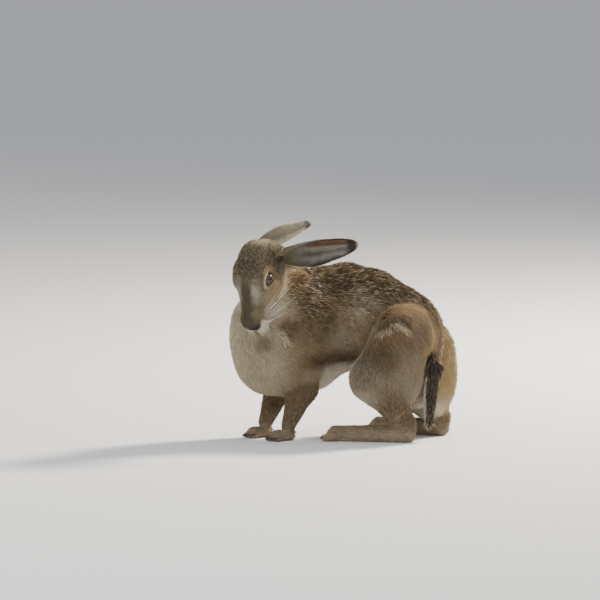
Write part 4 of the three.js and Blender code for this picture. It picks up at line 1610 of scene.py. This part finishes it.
# %% Whiskers
WHISKERS_A_SIDE = 22
WHISKERS_A_ROW = 6
WHISKER_RADIUS = 0.22
bristle, net, shader = new_material("whisker")
shader.inputs["Base Color"].default_value = (0.82, 0.78, 0.7, 1)
shader.inputs["Roughness"].default_value = 0.35
rng = np.random.default_rng(5)
whisker_tubes = []
for s in SIDES:
    for i in range(WHISKERS_A_SIDE):
        row, column = divmod(i, WHISKERS_A_ROW)
        start = on_head(NOSE - 22 + 3.1 * column, s * (12.6 - 0.9 * column), -12 + 3.4 * row)
        spread = 0.9 if s > 0 else 0.42
        ahead = -0.35 - 0.12 * (5 - column) + rng.uniform(-0.1, 0.1)
        aside = s * (spread + rng.uniform(-0.1, 0.1))
        rise = 0.15 * (row - 1) + rng.uniform(-0.12, 0.12)
        way = way_on_head(ahead, aside, rise)
        bend = way_on_head(-1, 0, -0.3)
        reach = rng.uniform(30, 66) if s > 0 else rng.uniform(24, 40)
        t = np.linspace(0, 1, 8)
        path = [start - way * 2 + way * reach * u + bend * 9 * u * u for u in t]
        whisker_tubes.append(tube(path, WHISKER_RADIUS * (1 - 0.85 * t), 4))
whiskers = bundle("whiskers", whisker_tubes, bristle)

# %% [markdown]
# ## Riding on the frame
# The hare is one stiff body, so every piece rides on its root. The skin stands for all the nodes of
# flesh, and the eyes for theirs. A model with moving legs would ride each piece on its own body.

# %% Fix the pieces to the frame
FLESH = [
    "head", "neck", "torso_front", "torso_rear", "tail", "ear_left", "ear_right", "thigh_left", "thigh_right",
    "hindfoot_left", "hindfoot_right", "foreleg_left", "foreleg_right", "forepaw_left", "forepaw_right",
]
for piece in (skin, *coats, claws, whiskers):
    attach(piece, "root")
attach(eyes, "root")
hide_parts(*FLESH)
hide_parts("eye_left", "eye_right")
print("the skin replaces", len(FLESH), "nodes")

# %% [markdown]
# ## Floor and light
# A pale floor and soft lamps show a coat best. Low sun from behind on the right lights the rims of the
# fur, so the strongest lamp is there, and weaker ones in front and above open up the shadows.

# %% Floor and lamps
def area_light(name, at, to, size_, power, colour=(1, 1, 1)):
    lamp = bpy.data.lights.new(name, "AREA")
    lamp.size = size_
    lamp.energy = power
    lamp.color = colour
    piece = object_of(name, lamp)
    piece.location = at
    piece.rotation_euler = (Vector(to) - Vector(at)).to_track_quat("-Z", "Y").to_euler()
    return piece


bpy.ops.mesh.primitive_plane_add(size=60)
floor = bpy.context.object
floor.name = "floor"
ground, net, shader = new_material("floor")
shader.inputs["Base Color"].default_value = (0.80, 0.79, 0.77, 1)
shader.inputs["Roughness"].default_value = 0.85
floor.data.materials.append(ground)
area_light("sun_side", (1.7, 1.5, 1.7), (0, 0, 0.14), 0.5, 230, (1, 0.93, 0.82))
area_light("front_fill", (-1.3, -2.4, 1.5), (0, 0, 0.12), 2.0, 40, (0.95, 0.97, 1))
area_light("top_fill", (0.2, -0.5, 2.6), (0, 0, 0.1), 2.0, 22)
world = bpy.data.worlds.new("studio")
bpy.context.scene.world = world
world.use_nodes = True
world.node_tree.nodes["Background"].inputs[0].default_value = (0.90, 0.93, 1.0, 1)
world.node_tree.nodes["Background"].inputs[1].default_value = 0.55
print("lamps:", [lamp.name for lamp in bpy.data.lights])

# %% [markdown]
# ## Camera
# The camera stands twelve metres off and low, with a long lens, which keeps the near and far side of the
# hare the same size. The lens is worked out for a picture 600 pixels wide, in which one pixel is 1.35 mm
# at the hare.

# %% Camera
DISTANCE = 12.0
PIXEL = 1.35
ELEVATION = math.radians(5)
PICTURE = 600
ORIGIN_COLUMN = 345
FLOOR_ROW = 438
centre = PICTURE / 2
middle = vec((centre - ORIGIN_COLUMN) * PIXEL, 0, (FLOOR_ROW - centre) * PIXEL / math.cos(ELEVATION))
target = Vector((middle + SHIFT) * MM)
camera_data = bpy.data.cameras.new("camera")
camera_data.sensor_width = 36
camera_data.lens = camera_data.sensor_width * DISTANCE / (PICTURE * PIXEL * MM)
camera_data.clip_end = 100
camera = object_of("camera", camera_data)
camera.location = target + DISTANCE * Vector((0, -math.cos(ELEVATION), math.sin(ELEVATION)))
camera.rotation_euler = (math.pi / 2 - ELEVATION, 0, 0)
bpy.context.scene.camera = camera
print("lens:", round(camera_data.lens), "mm")
